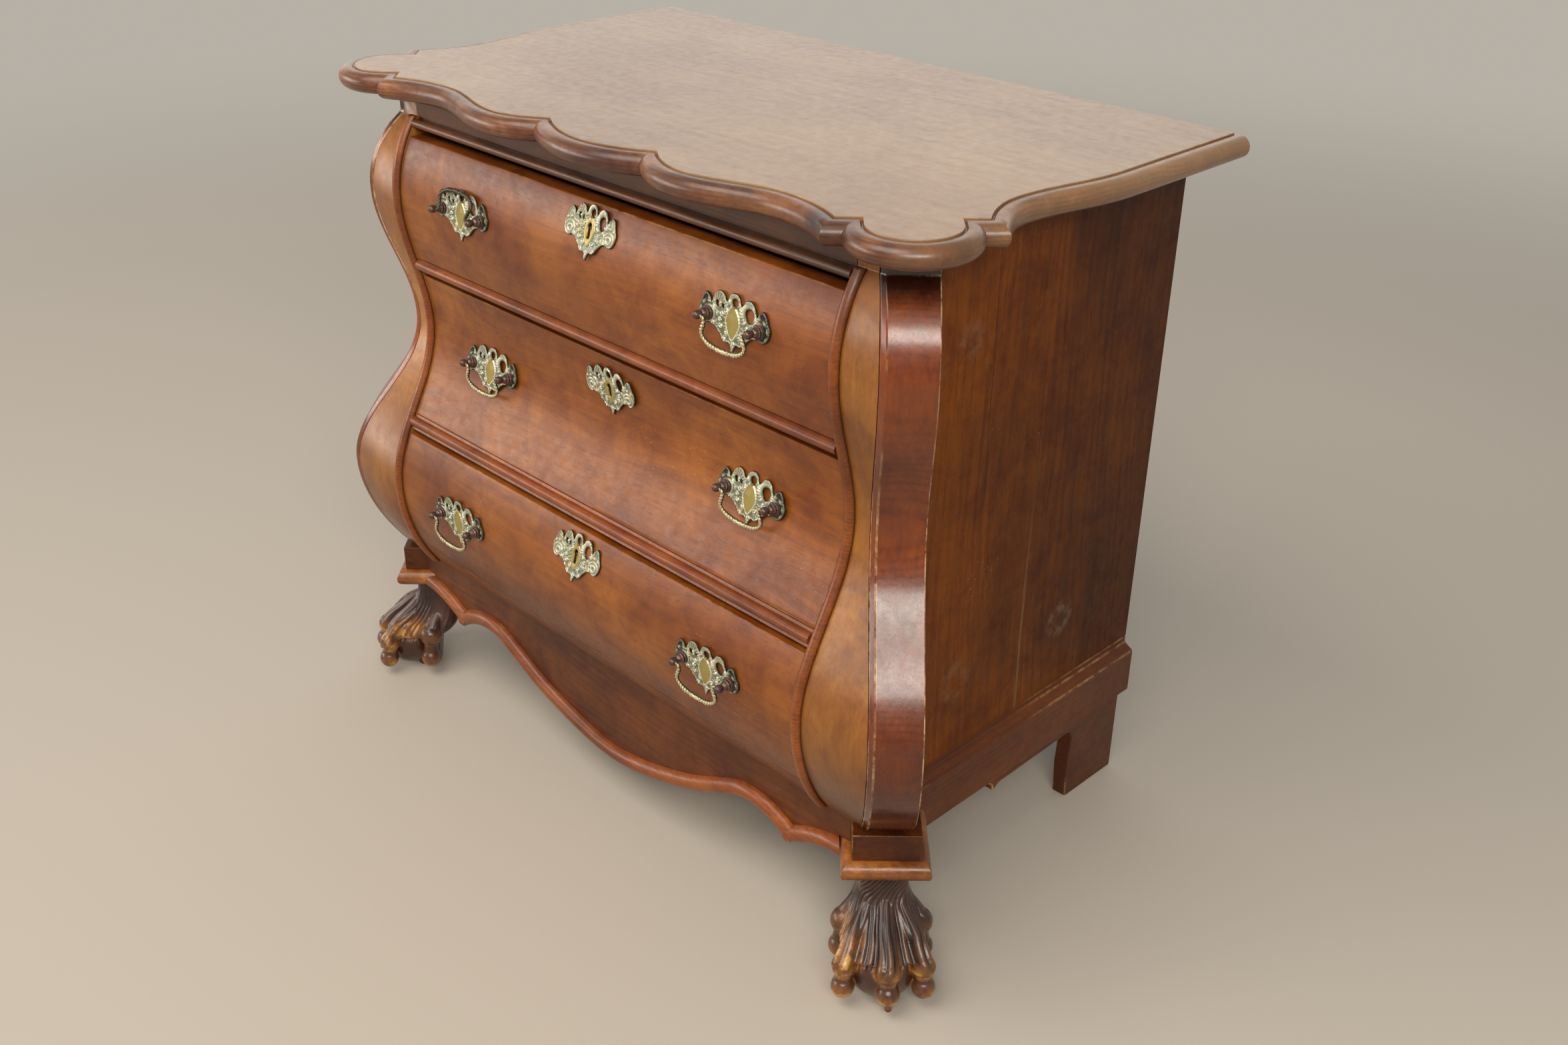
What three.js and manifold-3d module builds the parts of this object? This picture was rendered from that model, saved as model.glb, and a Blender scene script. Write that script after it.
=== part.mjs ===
// A three-drawer bombe chest, in millimetres, +Z up, its front towards -Y.
// The origin is on the floor, under the middle of the box round the whole chest.
import * as THREE from 'three';
import { mergeVertices } from 'three/addons/utils/BufferGeometryUtils.js';
import Module from 'manifold-3d';

const wasm = await Module();
wasm.setup();

// Driving sizes of the carcase. A depth is measured forwards from the rear plane of the case.
const height = 800;
const topThick = 23;
const openingHalf = 336;
const sideThick = 18;
const cantThick = 52;
const cantLip = 8;
const slabRun = 30.73;
const baseTop = 190;
const friezeHeight = 25;
const railThick = 16;
const railDeep = 46;
const backThick = 12;

// The serpentine front: a waist, with an upper swell over it and a belly under it
const waistDepth = 457.5;
const upperSwell = 27;
const bellySwell = 67.5;
const facetRise = 23;
const drawerFacetRise = 16;

// Heights on the front, and the radii of its end arcs, as shares of the height from base to frieze
const frontShares = {
  upper: 0.83986,
  waist: 0.56584,
  belly: 0.2153,
  shoulderRadius: 0.25623,
  underRadius: 0.35587,
  upperRail: 0.71174,
  lowerRail: 0.37367,
  bottomRail: 0.05516,
  handles: [0.86121, 0.52313, 0.2153],
  scutcheons: [0.91815, 0.60498, 0.2847],
};

// Drawer boards
const topBeadRadius = 4.6;
const drawerTopGap = 5;
const drawerRunGap = 0.5;
const drawerSideGap = 1.5;
const frontThick = 20;
const boxSideThick = 12;
const boxBackThick = 10;
const boxBottomThick = 7;
const boxBottomRaise = 6;
const boxSideDrop = 12;
const boxRearDepth = 30;
const guideHigh = 14;
const beadRadius = 6;

// Top board and its round edge, whose inner line is the groove round the field
const sideReach = 47.23;
const centreReach = 1;
const swellStep = 1.5;
const hollowStep = 25.5;
const cuspStep = 27;
const sideHollowStep = 18;
const noseReach = 7.5;
const noseDrop = 1;
const earInset = 36.66;
const earRadius = 42;
const filletInset = 17;
const filletAcross = 65.5;
const fieldShares = { straight: 0.39135, sideHollow: 0.66323, hollow: 0.6119, swell: 0.34524, cusp: 0.19524 };

// Base: apron, side rails, brackets, corner blocks and the mouldings over the feet
const apronSetback = 4.25;
const apronThick = 22;
const apronBeadRadius = 9.5;
const apronCentreDrop = 131;
const apronCrestDrop = 59.5;
const apronCuspDrop = 80;
const apronEndShares = { crest: 0.62485, cusp: 0.78437 };
const sideRailHigh = 71;
const sideRailProud = 12;
const sideRailLedge = 8;
const sideRailBevel = 7;
const bracketThick = 19;
const bracketFootDeep = 92;
const bracketArchDrop = 21;
const bracketTongueDepth = 240;
const bracketTongueDrop = 9;
const bracketTongueRun = 34;
const bracketRound = 12;
const blockWide = 70;
const blockProud = 8;
const blockDeep = 111;
const blockHigh = 32;
const capHigh = 21;
const capReach = 10.5;
const capDeep = 84;

// Claw foot, whose height is counted in foot sizes
const footSizes = 3.914;
const knuckleRadius = 11.5;
const nailRadius = 11.5;
const toeRootRadius = 6;

// Fittings
const handleShare = 0.63988;
const plateHalf = 48;
const plateUp = 27;
const plateDown = 30;
const plateThick = 2.2;
const postInset = 15;
const postReach = 28;
const pivotReach = 15.5;
const postBaseRadius = 8;
const postNeckRadius = 4.3;
const eyeRadius = 2;
const pinRadius = 1.4;
const bailDrop = 27;
const bailBowInset = 4;
const bailShoulderInset = 7.8;
const bailShoulderDrop = 8.5;
const bailThin = 1.9;
const bailThick = 3.1;
const scutcheonHalf = 40;
const rimHalfWide = 6.5;
const rimHalfHigh = 13;
const rimProud = 1.6;
const keyHalfWide = 1.8;
const keyHalfHigh = 8;
const slitHalfWide = 1.1;
const slitHalfHigh = 6;
const bailRaised = THREE.MathUtils.degToRad(-206);

// Clearances
const seat = 0.3;
const overrun = 30;

const bellyDepth = waistDepth + bellySwell;
const upperDepth = waistDepth + upperSwell;
const rearY = (bellyDepth + postReach + seat) / 2;
const topUnder = height - topThick;
const friezeUnder = topUnder - friezeHeight;
const frontHigh = friezeUnder - baseTop;
const upperHeight = baseTop + frontHigh * frontShares.upper;
const waistHeight = baseTop + frontHigh * frontShares.waist;
const bellyHeight = baseTop + frontHigh * frontShares.belly;
const shoulderRadius = frontHigh * frontShares.shoulderRadius;
const underRadius = frontHigh * frontShares.underRadius;
const upperRailTop = baseTop + frontHigh * frontShares.upperRail;
const lowerRailTop = baseTop + frontHigh * frontShares.lowerRail;
const bottomRailTop = baseTop + frontHigh * frontShares.bottomRail;
const handleHeights = frontShares.handles.map((share) => baseTop + frontHigh * share);
const scutcheonHeights = frontShares.scutcheons.map((share) => baseTop + frontHigh * share);

const cantReach = (cantThick / 2) * Math.SQRT2;
const sideOuter = openingHalf + cantReach;
const sideInner = sideOuter - sideThick;
const seatX = seat * Math.SQRT2;
const cornerInnerDepth = waistDepth - slabRun;
const cornerLine = cornerInnerDepth - openingHalf - cantReach;
const drawerHalf = openingHalf - drawerSideGap;
const boxHalf = drawerHalf - seat;

function arcDrop(depth, radius, along) {
  return depth - radius + Math.sqrt(radius * radius - along * along);
}

function ease(share) {
  return (1 - Math.cos(Math.PI * share)) / 2;
}

// Depth of the serpentine front face at a height
function frontDepth(z) {
  if (z >= upperHeight) return arcDrop(upperDepth, shoulderRadius, z - upperHeight);
  if (z >= waistHeight) {
    const share = (z - waistHeight) / (upperHeight - waistHeight);
    return waistDepth + (upperDepth - waistDepth) * ease(share);
  }
  if (z >= bellyHeight) {
    const share = (z - bellyHeight) / (waistHeight - bellyHeight);
    return bellyDepth + (waistDepth - bellyDepth) * ease(share);
  }
  return arcDrop(bellyDepth, underRadius, bellyHeight - z);
}

// The corner posts stand straight over the frieze
function postDepth(z) {
  return frontDepth(Math.min(z, friezeUnder));
}

// Slope of the front: how much deeper it gets per unit of height
function frontSlope(z) {
  const step = facetRise / 1000;
  return (frontDepth(z + step) - frontDepth(z - step)) / (2 * step);
}

// The x and depth of a point in a front corner's own frame: out along the diagonal, and across it
function cornerPlace(out, across) {
  const sum = out * Math.SQRT2;
  const difference = across * Math.SQRT2 - cornerLine;
  return [(sum + difference) / 2, (sum - difference) / 2];
}

// The x and depth where a line at one distance across the corner's diagonal meets a depth
function cornerPlaceAt(depth, across) {
  return [depth + across * Math.SQRT2 - cornerLine, depth];
}

function yOf(depth) {
  return rearY - depth;
}

// Heights from one value to another in even steps of about the facet rise
function heightsBetween(from, to, rise = facetRise) {
  const steps = Math.max(1, Math.round((to - from) / rise));
  return Array.from({ length: steps + 1 }, (_, i) => from + ((to - from) * i) / steps);
}

// How far out along the diagonal the canted face stands at a height
function cantOut(z) {
  return (2 * frontDepth(z) - cornerLine - cantReach + cantLip) / Math.SQRT2;
}

// Top
const fieldHalf = sideOuter + sideReach;
const sideHollowX = fieldHalf - sideHollowStep;
const centreDepth = upperDepth + centreReach;
const straightDepth = centreDepth * fieldShares.straight;
const sideHollowDepth = centreDepth * fieldShares.sideHollow;
const hollowX = fieldHalf * fieldShares.hollow;
const hollowDepth = centreDepth - hollowStep;
const swellX = fieldHalf * fieldShares.swell;
const swellDepth = centreDepth - swellStep;
const cuspX = fieldHalf * fieldShares.cusp;
const cuspDepth = centreDepth - cuspStep;
const earOut = cantOut(upperHeight) - earInset;
const filletOut = earOut - filletInset;

// Base
const blockFront = cantOut(baseTop) + blockProud;
const capTop = baseTop - blockHigh;
const capUnder = capTop - capHigh;
const sideRailTop = baseTop - sideRailLedge;
const sideRailUnder = baseTop - sideRailHigh;
const bracketArchHigh = sideRailUnder - bracketArchDrop;
const bracketEndDepth = bracketTongueDepth + bracketTongueRun;
const apronDepth = frontDepth(baseTop) - apronSetback;
const [apronEndX] = cornerPlaceAt(apronDepth, -blockWide / 2 - seat);
const apronCentreHigh = baseTop - apronCentreDrop;
const apronCrestX = apronEndX * apronEndShares.crest;
const apronCrestHigh = baseTop - apronCrestDrop;
const apronCuspX = apronEndX * apronEndShares.cusp;
const apronCuspHigh = baseTop - apronCuspDrop;
const footSize = capUnder / footSizes;

// Fittings
const handleX = openingHalf * handleShare;
const postX = plateHalf - postInset;
const bailHalf = postX - bailBowInset;
const bailShoulder = postX - bailShoulderInset;

// Geometry helpers

function solidOf(geometry) {
  const bare = geometry.index ? geometry.toNonIndexed() : geometry.clone();
  bare.deleteAttribute('normal');
  bare.deleteAttribute('uv');
  const merged = mergeVertices(bare, 1e-4);
  return new wasm.Manifold(
    new wasm.Mesh({
      numProp: 3,
      vertProperties: new Float32Array(merged.attributes.position.array),
      triVerts: new Uint32Array(merged.index.array),
    }),
  );
}

function geometryOf(solid) {
  const mesh = solid.getMesh();
  const geometry = new THREE.BufferGeometry();
  geometry.setAttribute('position', new THREE.BufferAttribute(new Float32Array(mesh.vertProperties), 3));
  geometry.setIndex(new THREE.BufferAttribute(new Uint32Array(mesh.triVerts), 1));
  return geometry;
}

function union(geometries) {
  return geometryOf(geometries.map(solidOf).reduce((all, one) => all.add(one)));
}

function cut(geometry, ...tools) {
  return geometryOf(tools.map(solidOf).reduce((all, tool) => all.subtract(tool), solidOf(geometry)));
}

function signedVolume(points, faces) {
  const cross = new THREE.Vector3();
  return faces.reduce((sum, [a, b, c]) => {
    cross.crossVectors(points[b], points[c]);
    return sum + points[a].dot(cross);
  }, 0);
}

// A closed solid through rings of points that all have the same count; flat ends
function loft(rings) {
  const count = rings[0].length;
  const points = rings.flat();
  const faces = [];
  rings.slice(1).forEach((_, r) => {
    for (let i = 0; i < count; i += 1) {
      const a = r * count + i;
      const b = r * count + ((i + 1) % count);
      faces.push([a, b, b + count], [a, b + count, a + count]);
    }
  });
  const first = capFaces(rings[0]);
  const last = (rings.length - 1) * count;
  first.forEach(([a, b, c]) => {
    faces.push([c, b, a], [last + a, last + b, last + c]);
  });
  const turned = signedVolume(points, faces) < 0;
  const corners = faces.flatMap(([a, b, c]) => (turned ? [a, c, b] : [a, b, c])).map((i) => points[i]);
  const geometry = new THREE.BufferGeometry().setFromPoints(corners);
  return dropSlivers(geometry);
}

// Triangles over a flat ring, wound the way the ring runs
function capFaces(ring) {
  const normal = new THREE.Vector3();
  const cross = new THREE.Vector3();
  ring.forEach((p, i) => normal.add(cross.crossVectors(p, ring[(i + 1) % ring.length])));
  normal.normalize();
  const turn = new THREE.Quaternion().setFromUnitVectors(normal, new THREE.Vector3(0, 0, 1));
  const level = ring.map((p) => p.clone().applyQuaternion(turn));
  const flat = level.map((p) => new THREE.Vector2(p.x, p.y));
  return THREE.ShapeUtils.triangulateShape(flat, []).map((face) => {
    const [a, b, c] = face.map((i) => flat[i]);
    const area = (b.x - a.x) * (c.y - a.y) - (c.x - a.x) * (b.y - a.y);
    return area < 0 ? [face[0], face[2], face[1]] : face;
  });
}

// Leaves out triangles that have two corners in one place
function dropSlivers(geometry) {
  const merged = mergeVertices(geometry, 1e-4);
  const index = merged.index.array;
  const kept = [];
  for (let i = 0; i < index.length; i += 3) {
    const [a, b, c] = [index[i], index[i + 1], index[i + 2]];
    if (a !== b && b !== c && c !== a) kept.push(a, b, c);
  }
  merged.setIndex(kept);
  return merged;
}

function mirrored(geometry) {
  const copy = geometry.index ? geometry.toNonIndexed() : geometry.clone();
  copy.scale(-1, 1, 1);
  const position = copy.attributes.position;
  for (let i = 0; i < position.count; i += 3) {
    const [x, y, z] = [position.getX(i), position.getY(i), position.getZ(i)];
    position.setXYZ(i, position.getX(i + 1), position.getY(i + 1), position.getZ(i + 1));
    position.setXYZ(i + 1, x, y, z);
  }
  return copy;
}

function box(x0, x1, y0, y1, z0, z1) {
  const geometry = new THREE.BoxGeometry(x1 - x0, y1 - y0, z1 - z0);
  geometry.translate((x0 + x1) / 2, (y0 + y1) / 2, (z0 + z1) / 2);
  return geometry;
}

// A board whose outline is drawn as depth and height, from one x to another
function sideways(outline, x0, x1) {
  return loft([x0, x1].map((x) => outline.map(([depth, z]) => new THREE.Vector3(x, yOf(depth), z))));
}

// A board whose outline is drawn as x and height, from one depth to another
function frontways(outline, depth0, depth1) {
  const place = (depth) => outline.map(([x, z]) => new THREE.Vector3(x, yOf(depth), z));
  return loft([depth0, depth1].map(place));
}

// A slab whose outline is drawn as x and depth, from one height to another
function upright(outline, z0, z1) {
  return loft([z0, z1].map((z) => outline.map(([x, depth]) => new THREE.Vector3(x, yOf(depth), z))));
}

function arcPoints(from, to, count) {
  return Array.from({ length: count + 1 }, (_, i) => from + ((to - from) * i) / count);
}

// Top

// The right half of the groove line, as stretches of points in x and depth, from the rear to the cusp
function fieldStretches() {
  const sideTip = cornerPlace(filletOut, filletAcross);
  const frontTip = cornerPlace(filletOut, -filletAcross);
  const side = [[fieldHalf, 0]];
  arcPoints(0, 1, 6).forEach((share) => {
    const depth = straightDepth + (sideHollowDepth - straightDepth) * share;
    side.push([fieldHalf + (sideHollowX - fieldHalf) * ease(share), depth]);
  });
  arcPoints(0, 1, 5).slice(1).forEach((share) => {
    const depth = sideHollowDepth + (sideTip[1] - sideHollowDepth) * share;
    side.push([sideHollowX + (sideTip[0] - sideHollowX) * share * share, depth]);
  });
  const ear = arcPoints(Math.PI / 2, -Math.PI / 2, 12).map((angle) =>
    cornerPlace(earOut + earRadius * Math.cos(angle), earRadius * Math.sin(angle)),
  );
  ear.unshift(cornerPlace(filletOut, earRadius));
  ear.push(cornerPlace(filletOut, -earRadius));
  const front = arcPoints(1, 0, 5).map((share) => {
    const x = hollowX + (frontTip[0] - hollowX) * share;
    return [x, hollowDepth + (frontTip[1] - hollowDepth) * share * share];
  });
  arcPoints(0, 1, 6).slice(1).forEach((share) => {
    const depth = hollowDepth + (swellDepth - hollowDepth) * ease(share);
    front.push([hollowX + (swellX - hollowX) * share, depth]);
  });
  arcPoints(0, 1, 5).slice(1).forEach((share) => {
    const x = swellX - (swellX - cuspX) * share;
    front.push([x, swellDepth - (swellDepth - cuspDepth) * share * share]);
  });
  return [side, [sideTip, ear[0]], ear, [ear[ear.length - 1], frontTip], front];
}

// The whole groove line from the right rear corner round the front to the left rear corner
function grooveLine() {
  const right = fieldStretches();
  const centreSpan = centreDepth - cuspDepth;
  const lobe = arcPoints(1, -1, 10).map((share) => {
    return [cuspX * share, centreDepth - centreSpan * share * share];
  });
  const left = right.map((stretch) => stretch.map(([x, depth]) => [-x, depth]).reverse()).reverse();
  const place = ([x, depth]) => new THREE.Vector2(x, yOf(depth));
  return [...right, lobe, ...left].map((stretch) => stretch.map(place));
}

// Each stretch moved outwards, its neighbours trimmed or run on to where they meet
function offsetLine(stretches, distance) {
  const moved = stretches.map((points) => {
    const last = points.length - 1;
    return points.map((p, i) => {
      const along = points[Math.min(i + 1, last)].clone().sub(points[Math.max(i - 1, 0)]).normalize();
      return new THREE.Vector2(p.x - along.y * distance, p.y + along.x * distance);
    });
  });
  moved.slice(1).forEach((next, k) => joinStretches(moved[k], next));
  return moved.flat();
}

function joinStretches(before, after) {
  const meeting = meetingOf(before, after);
  for (let i = meeting.leave; i < before.length; i += 1) before[i].copy(meeting.point);
  for (let i = 0; i <= meeting.enter; i += 1) after[i].copy(meeting.point);
}

// Where two stretches cross, or where their end tangents do
function meetingOf(before, after) {
  for (let i = before.length - 2; i >= 0; i -= 1) {
    for (let j = 0; j < after.length - 1; j += 1) {
      const hit = crossing(before[i], before[i + 1], after[j], after[j + 1]);
      const inside = hit && hit.s >= 0 && hit.s <= 1 && hit.t >= 0 && hit.t <= 1;
      if (inside) return { point: hit.point, leave: i + 1, enter: j };
    }
  }
  const last = before.length - 1;
  const hit = crossing(before[last - 1], before[last], after[1], after[0]);
  return { point: hit.point, leave: last, enter: 0 };
}

function crossing(a, b, c, d) {
  const [abx, aby, cdx, cdy] = [b.x - a.x, b.y - a.y, d.x - c.x, d.y - c.y];
  const turn = abx * cdy - aby * cdx;
  if (turn === 0) return null;
  const s = ((c.x - a.x) * cdy - (c.y - a.y) * cdx) / turn;
  const t = ((c.x - a.x) * aby - (c.y - a.y) * abx) / turn;
  return { s, t, point: new THREE.Vector2(a.x + abx * s, a.y + aby * s) };
}

function topField() {
  const line = grooveLine().flat();
  return loft([topUnder, height].map((z) => line.map((p) => new THREE.Vector3(p.x, p.y, z))));
}

function topMoulding() {
  const stretches = grooveLine();
  const noseRadius = (topThick - noseDrop) / 2;
  const middle = topUnder + noseRadius;
  const profile = [[seat, topUnder]];
  arcPoints(-Math.PI / 2, Math.PI / 2, 6).forEach((angle) => {
    profile.push([noseReach + noseRadius * Math.cos(angle), middle + noseRadius * Math.sin(angle)]);
  });
  profile.push([seat, topUnder + 2 * noseRadius - noseDrop]);
  const lines = profile.map(([distance, z]) => {
    return offsetLine(stretches, distance).map((p) => new THREE.Vector3(p.x, p.y, z));
  });
  return loft(lines[0].map((_, i) => lines.map((line) => line[i])));
}

// Carcase

function postHeights() {
  return [...heightsBetween(baseTop, friezeUnder), topUnder];
}

// The slab that stands at 45 degrees at a front corner and is cut to the serpentine line
function cornerBoard() {
  const low = cornerLine + cantReach;
  return loft(
    postHeights().map((z) => {
      const depth = postDepth(z);
      const lipX = depth - low + cantLip;
      const outerX = lipX + cantReach - cantLip / 2;
      const outerDepth = depth - cantReach + cantLip / 2;
      const ring = [[depth - low, depth], [lipX, depth], [outerX, outerDepth]];
      ring.push([sideOuter, cornerInnerDepth - cantReach], [openingHalf, cornerInnerDepth]);
      return ring.map(([x, d]) => new THREE.Vector3(x, yOf(d), z));
    }),
  );
}

// The flat-faced filling between the drawer opening and the canted slab
function stile() {
  const low = cornerLine + cantReach;
  return loft(
    postHeights().map((z) => {
      const depth = postDepth(z);
      const ring = [[openingHalf, depth], [depth - low - seatX, depth]];
      ring.push([openingHalf, cornerInnerDepth + seatX]);
      return ring.map(([x, d]) => new THREE.Vector3(x, yOf(d), z));
    }),
  );
}

// A half-round bead bent down the front of the stile, beside the drawers
function sideBead() {
  const angles = arcPoints(0, Math.PI, 5);
  return loft(
    heightsBetween(baseTop, friezeUnder).map((z) => {
      const tilt = Math.atan(frontSlope(z));
      const leans = z === baseTop || z === friezeUnder ? 0 : tilt;
      return angles.map((angle) => {
        const out = seat + beadRadius * Math.sin(angle);
        const x = openingHalf + beadRadius + beadRadius * Math.cos(angle);
        const depth = frontDepth(z) + (out * Math.cos(leans)) / Math.cos(tilt - leans);
        return new THREE.Vector3(x, yOf(depth), z - out * Math.sin(leans));
      });
    }),
  );
}

// Points of a bead on the serpentine front, from under it to over it, as depth and height
function beadOutline(middle, radius) {
  const tilt = Math.atan(frontSlope(middle));
  return arcPoints(-Math.PI / 2, Math.PI / 2, 8).map((angle) => {
    const [up, out] = [radius * Math.sin(angle), radius * Math.cos(angle)];
    return [
      frontDepth(middle) + out * Math.cos(tilt) + up * Math.sin(tilt),
      middle + up * Math.cos(tilt) - out * Math.sin(tilt),
    ];
  });
}

function railBack(top) {
  return frontDepth(top - railThick / 2) - railDeep;
}

function drawerRail(top) {
  const under = top - railThick;
  const back = railBack(top);
  const outline = [[back, under], [frontDepth(under), under]];
  outline.push(...beadOutline(top - railThick / 2, beadRadius), [frontDepth(top), top], [back, top]);
  return sideways(outline, seat - openingHalf, openingHalf - seat);
}

function friezeRail() {
  const beadMiddle = friezeUnder - topBeadRadius - drawerTopGap / 2;
  const under = beadMiddle - topBeadRadius - seat;
  const depth = frontDepth(friezeUnder);
  const back = depth - railDeep / 2;
  const quirk = depth - beadRadius / 2;
  const outline = [[back, under], [frontDepth(under) - beadRadius / 2, under]];
  outline.push(...beadOutline(beadMiddle, topBeadRadius));
  outline.push([quirk, friezeUnder - drawerTopGap / 2], [quirk, friezeUnder]);
  outline.push([depth, friezeUnder], [depth, topUnder], [back, topUnder]);
  return sideways(outline, seat - openingHalf, openingHalf - seat);
}

const bottomRailBack = frontDepth(bottomRailTop) - railDeep - apronThick;

function bottomRail() {
  const back = bottomRailBack;
  const rises = heightsBetween(baseTop, bottomRailTop, drawerFacetRise / 2);
  const outline = [[back, baseTop], ...rises.map((z) => [frontDepth(z), z]), [back, bottomRailTop]];
  return sideways(outline, seat - openingHalf, openingHalf - seat);
}

// A board that closes the space between drawers, with a guide along each side, and runs on to the rail
function dustBoard(top, railBack) {
  const half = sideInner - seat;
  const outline = [[-half, top - railThick], [half, top - railThick], [half, top + guideHigh]];
  outline.push([openingHalf, top + guideHigh], [openingHalf, top], [-openingHalf, top]);
  outline.push([-openingHalf, top + guideHigh], [-half, top + guideHigh]);
  const front = cornerInnerDepth - cantReach - seatX;
  const board = frontways(outline, backThick + seat, front);
  const inner = openingHalf - seat;
  return union([board, box(-inner, inner, yOf(railBack - seat), yOf(front - seat), top - railThick, top)]);
}

function sidePanel() {
  const frontInner = cornerInnerDepth - cantReach + sideThick - seatX;
  const frontOuter = cornerInnerDepth - cantReach - seatX;
  const outline = [[sideInner, 0], [sideOuter, 0], [sideOuter, frontOuter], [sideInner, frontInner]];
  return upright(outline, baseTop, topUnder);
}

function backPanel() {
  return box(seat - sideInner, sideInner - seat, yOf(backThick), yOf(0), baseTop, topUnder);
}

// Base

function sideRail() {
  const outer = sideOuter + sideRailProud;
  const blockEdge = cornerLine - (blockWide / 2) * Math.SQRT2 - seatX;
  const front = (x) => x + blockEdge;
  const ring = [
    [sideInner, sideRailUnder],
    [outer, sideRailUnder],
    [outer, sideRailTop - sideRailBevel],
    [sideOuter, sideRailTop],
    [sideOuter, baseTop],
    [sideInner, baseTop],
  ];
  return loft([0, 1].map((share) => ring.map(([x, z]) => new THREE.Vector3(x, yOf(front(x) * share), z))));
}

// The rear bracket foot with the shaped board that runs forward from it under the side rail
function rearBracket() {
  const round = arcPoints(0, Math.PI / 2, 5).map((angle) => [
    bracketFootDeep + bracketRound - bracketRound * Math.cos(angle),
    bracketArchHigh - bracketRound + bracketRound * Math.sin(angle),
  ]);
  const tongue = arcPoints(0, 1, 4).map((share) => [
    bracketTongueDepth + (bracketEndDepth - bracketTongueDepth) * ease(share) ** 2,
    bracketArchHigh - bracketTongueDrop + (sideRailUnder - bracketArchHigh + bracketTongueDrop) * share,
  ]);
  const bulge = bracketRound / 4;
  const outline = [[0, 0], [bracketFootDeep, 0], [bracketFootDeep + bulge, bracketFootDeep / 2]];
  outline.push(...round, [bracketTongueDepth - bracketRound, bracketArchHigh - bulge]);
  outline.push(...tongue, [0, sideRailUnder]);
  return sideways(outline, sideOuter - bracketThick, sideOuter);
}

function backRail() {
  return box(seat - sideInner, sideInner - seat, yOf(bracketThick), yOf(0), sideRailUnder, baseTop);
}

// The apron's lower edge from the middle to its crest, as shares of the crest's x and of its rise
const apronShares = [
  [0, 0], [0.14, 0.04], [0.31, 0.16], [0.48, 0.32], [0.64, 0.51], [0.8, 0.77], [0.92, 0.95], [1, 1],
];

// The right half of the apron's lower edge, in x and height: the middle drop, and the lobe at the corner
function apronDrop() {
  const rise = apronShares.map(([x, up]) => {
    return new THREE.Vector2(x * apronCrestX, apronCentreHigh + up * (apronCrestHigh - apronCentreHigh));
  });
  const crest = new THREE.SplineCurve(rise).getPoints(14).map((p) => [p.x, p.y]);
  const fall = arcPoints(0, 1, 5).slice(1).map((share) => {
    const high = apronCrestHigh - (apronCrestHigh - apronCuspHigh) * share * share;
    return [apronCrestX + (apronCuspX - apronCrestX) * share, high];
  });
  return [...crest, ...fall];
}

function apronLobe() {
  return arcPoints(0, 1, 6).map((share) => [
    apronCuspX + (apronEndX - apronCuspX) * share,
    capUnder - (capUnder - apronCuspHigh) * (1 - share) * (1 - share),
  ]);
}

// A half-round bead along a line in x and height on the apron's face
function beadAlong(line) {
  const last = line.length - 1;
  const section = arcPoints(0, Math.PI, 5).map((angle) => {
    return [apronBeadRadius * Math.cos(angle), apronBeadRadius * Math.sin(angle)];
  });
  section.push([-apronBeadRadius, -apronThick / 2], [apronBeadRadius, -apronThick / 2]);
  return loft(
    line.map(([x, z], i) => {
      const [ahead, behind] = [line[Math.min(i + 1, last)], line[Math.max(i - 1, 0)]];
      const along = new THREE.Vector2(ahead[0] - behind[0], ahead[1] - behind[1]).normalize();
      return section.map(([across, out]) => {
        const lift = apronBeadRadius + across;
        return new THREE.Vector3(x - along.y * lift, yOf(apronDepth + out), z + along.x * lift);
      });
    }),
  );
}

function apron() {
  const half = blockWide / 2 + seat;
  const edge = [...apronDrop(), ...apronLobe().slice(1)];
  const left = edge.slice(1).map(([x, z]) => [-x, z]).reverse();
  const outline = [...left, ...edge, [apronEndX, baseTop], [-apronEndX, baseTop]];
  const board = frontways(outline, apronDepth - apronThick, apronDepth);
  const lobe = beadAlong(apronLobe());
  const drop = apronDrop();
  const middle = beadAlong([...drop.slice(1).map(([x, z]) => [-x, z]).reverse(), ...drop]);
  const whole = union([board, middle, lobe, mirrored(lobe)]);
  const [back, front] = [blockFront - blockDeep, blockFront + overrun];
  const byBlock = cornerPrism(back, front, half, 0, height);
  const byCap = cornerPrism(back, front, half + capReach, 0, capTop + seat);
  return cut(whole, byBlock, byCap, mirrored(byBlock), mirrored(byCap));
}

function cornerPoint(out, across, z) {
  const [x, depth] = cornerPlace(out, across);
  return new THREE.Vector3(x, yOf(depth), z);
}

// An upright prism on the corner's diagonal
function cornerPrism(back, front, half, z0, z1) {
  const ring = [[back, -half], [front, -half], [front, half], [back, half]];
  return loft([z0, z1].map((z) => ring.map(([out, across]) => cornerPoint(out, across, z))));
}

function cornerBlock() {
  return cornerPrism(blockFront - blockDeep, blockFront, blockWide / 2, capTop, baseTop);
}

// The half-round moulding under the block, returned along both of its sides
function cornerCap() {
  const radius = (capTop - capUnder) / 2;
  const back = blockFront - capDeep;
  return loft(
    arcPoints(-Math.PI / 2, Math.PI / 2, 8).map((angle) => {
      const reach = (capReach - radius) + radius * Math.cos(angle);
      const z = capUnder + radius + radius * Math.sin(angle);
      const half = blockWide / 2 + reach;
      const ring = [[back, -half], [blockFront + reach, -half], [blockFront + reach, half], [back, half]];
      return ring.map(([out, across]) => cornerPoint(out, across, z));
    }),
  );
}

// Claw foot, with its out axis along +x, across along +y, and its zero at the cap's front edge

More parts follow.
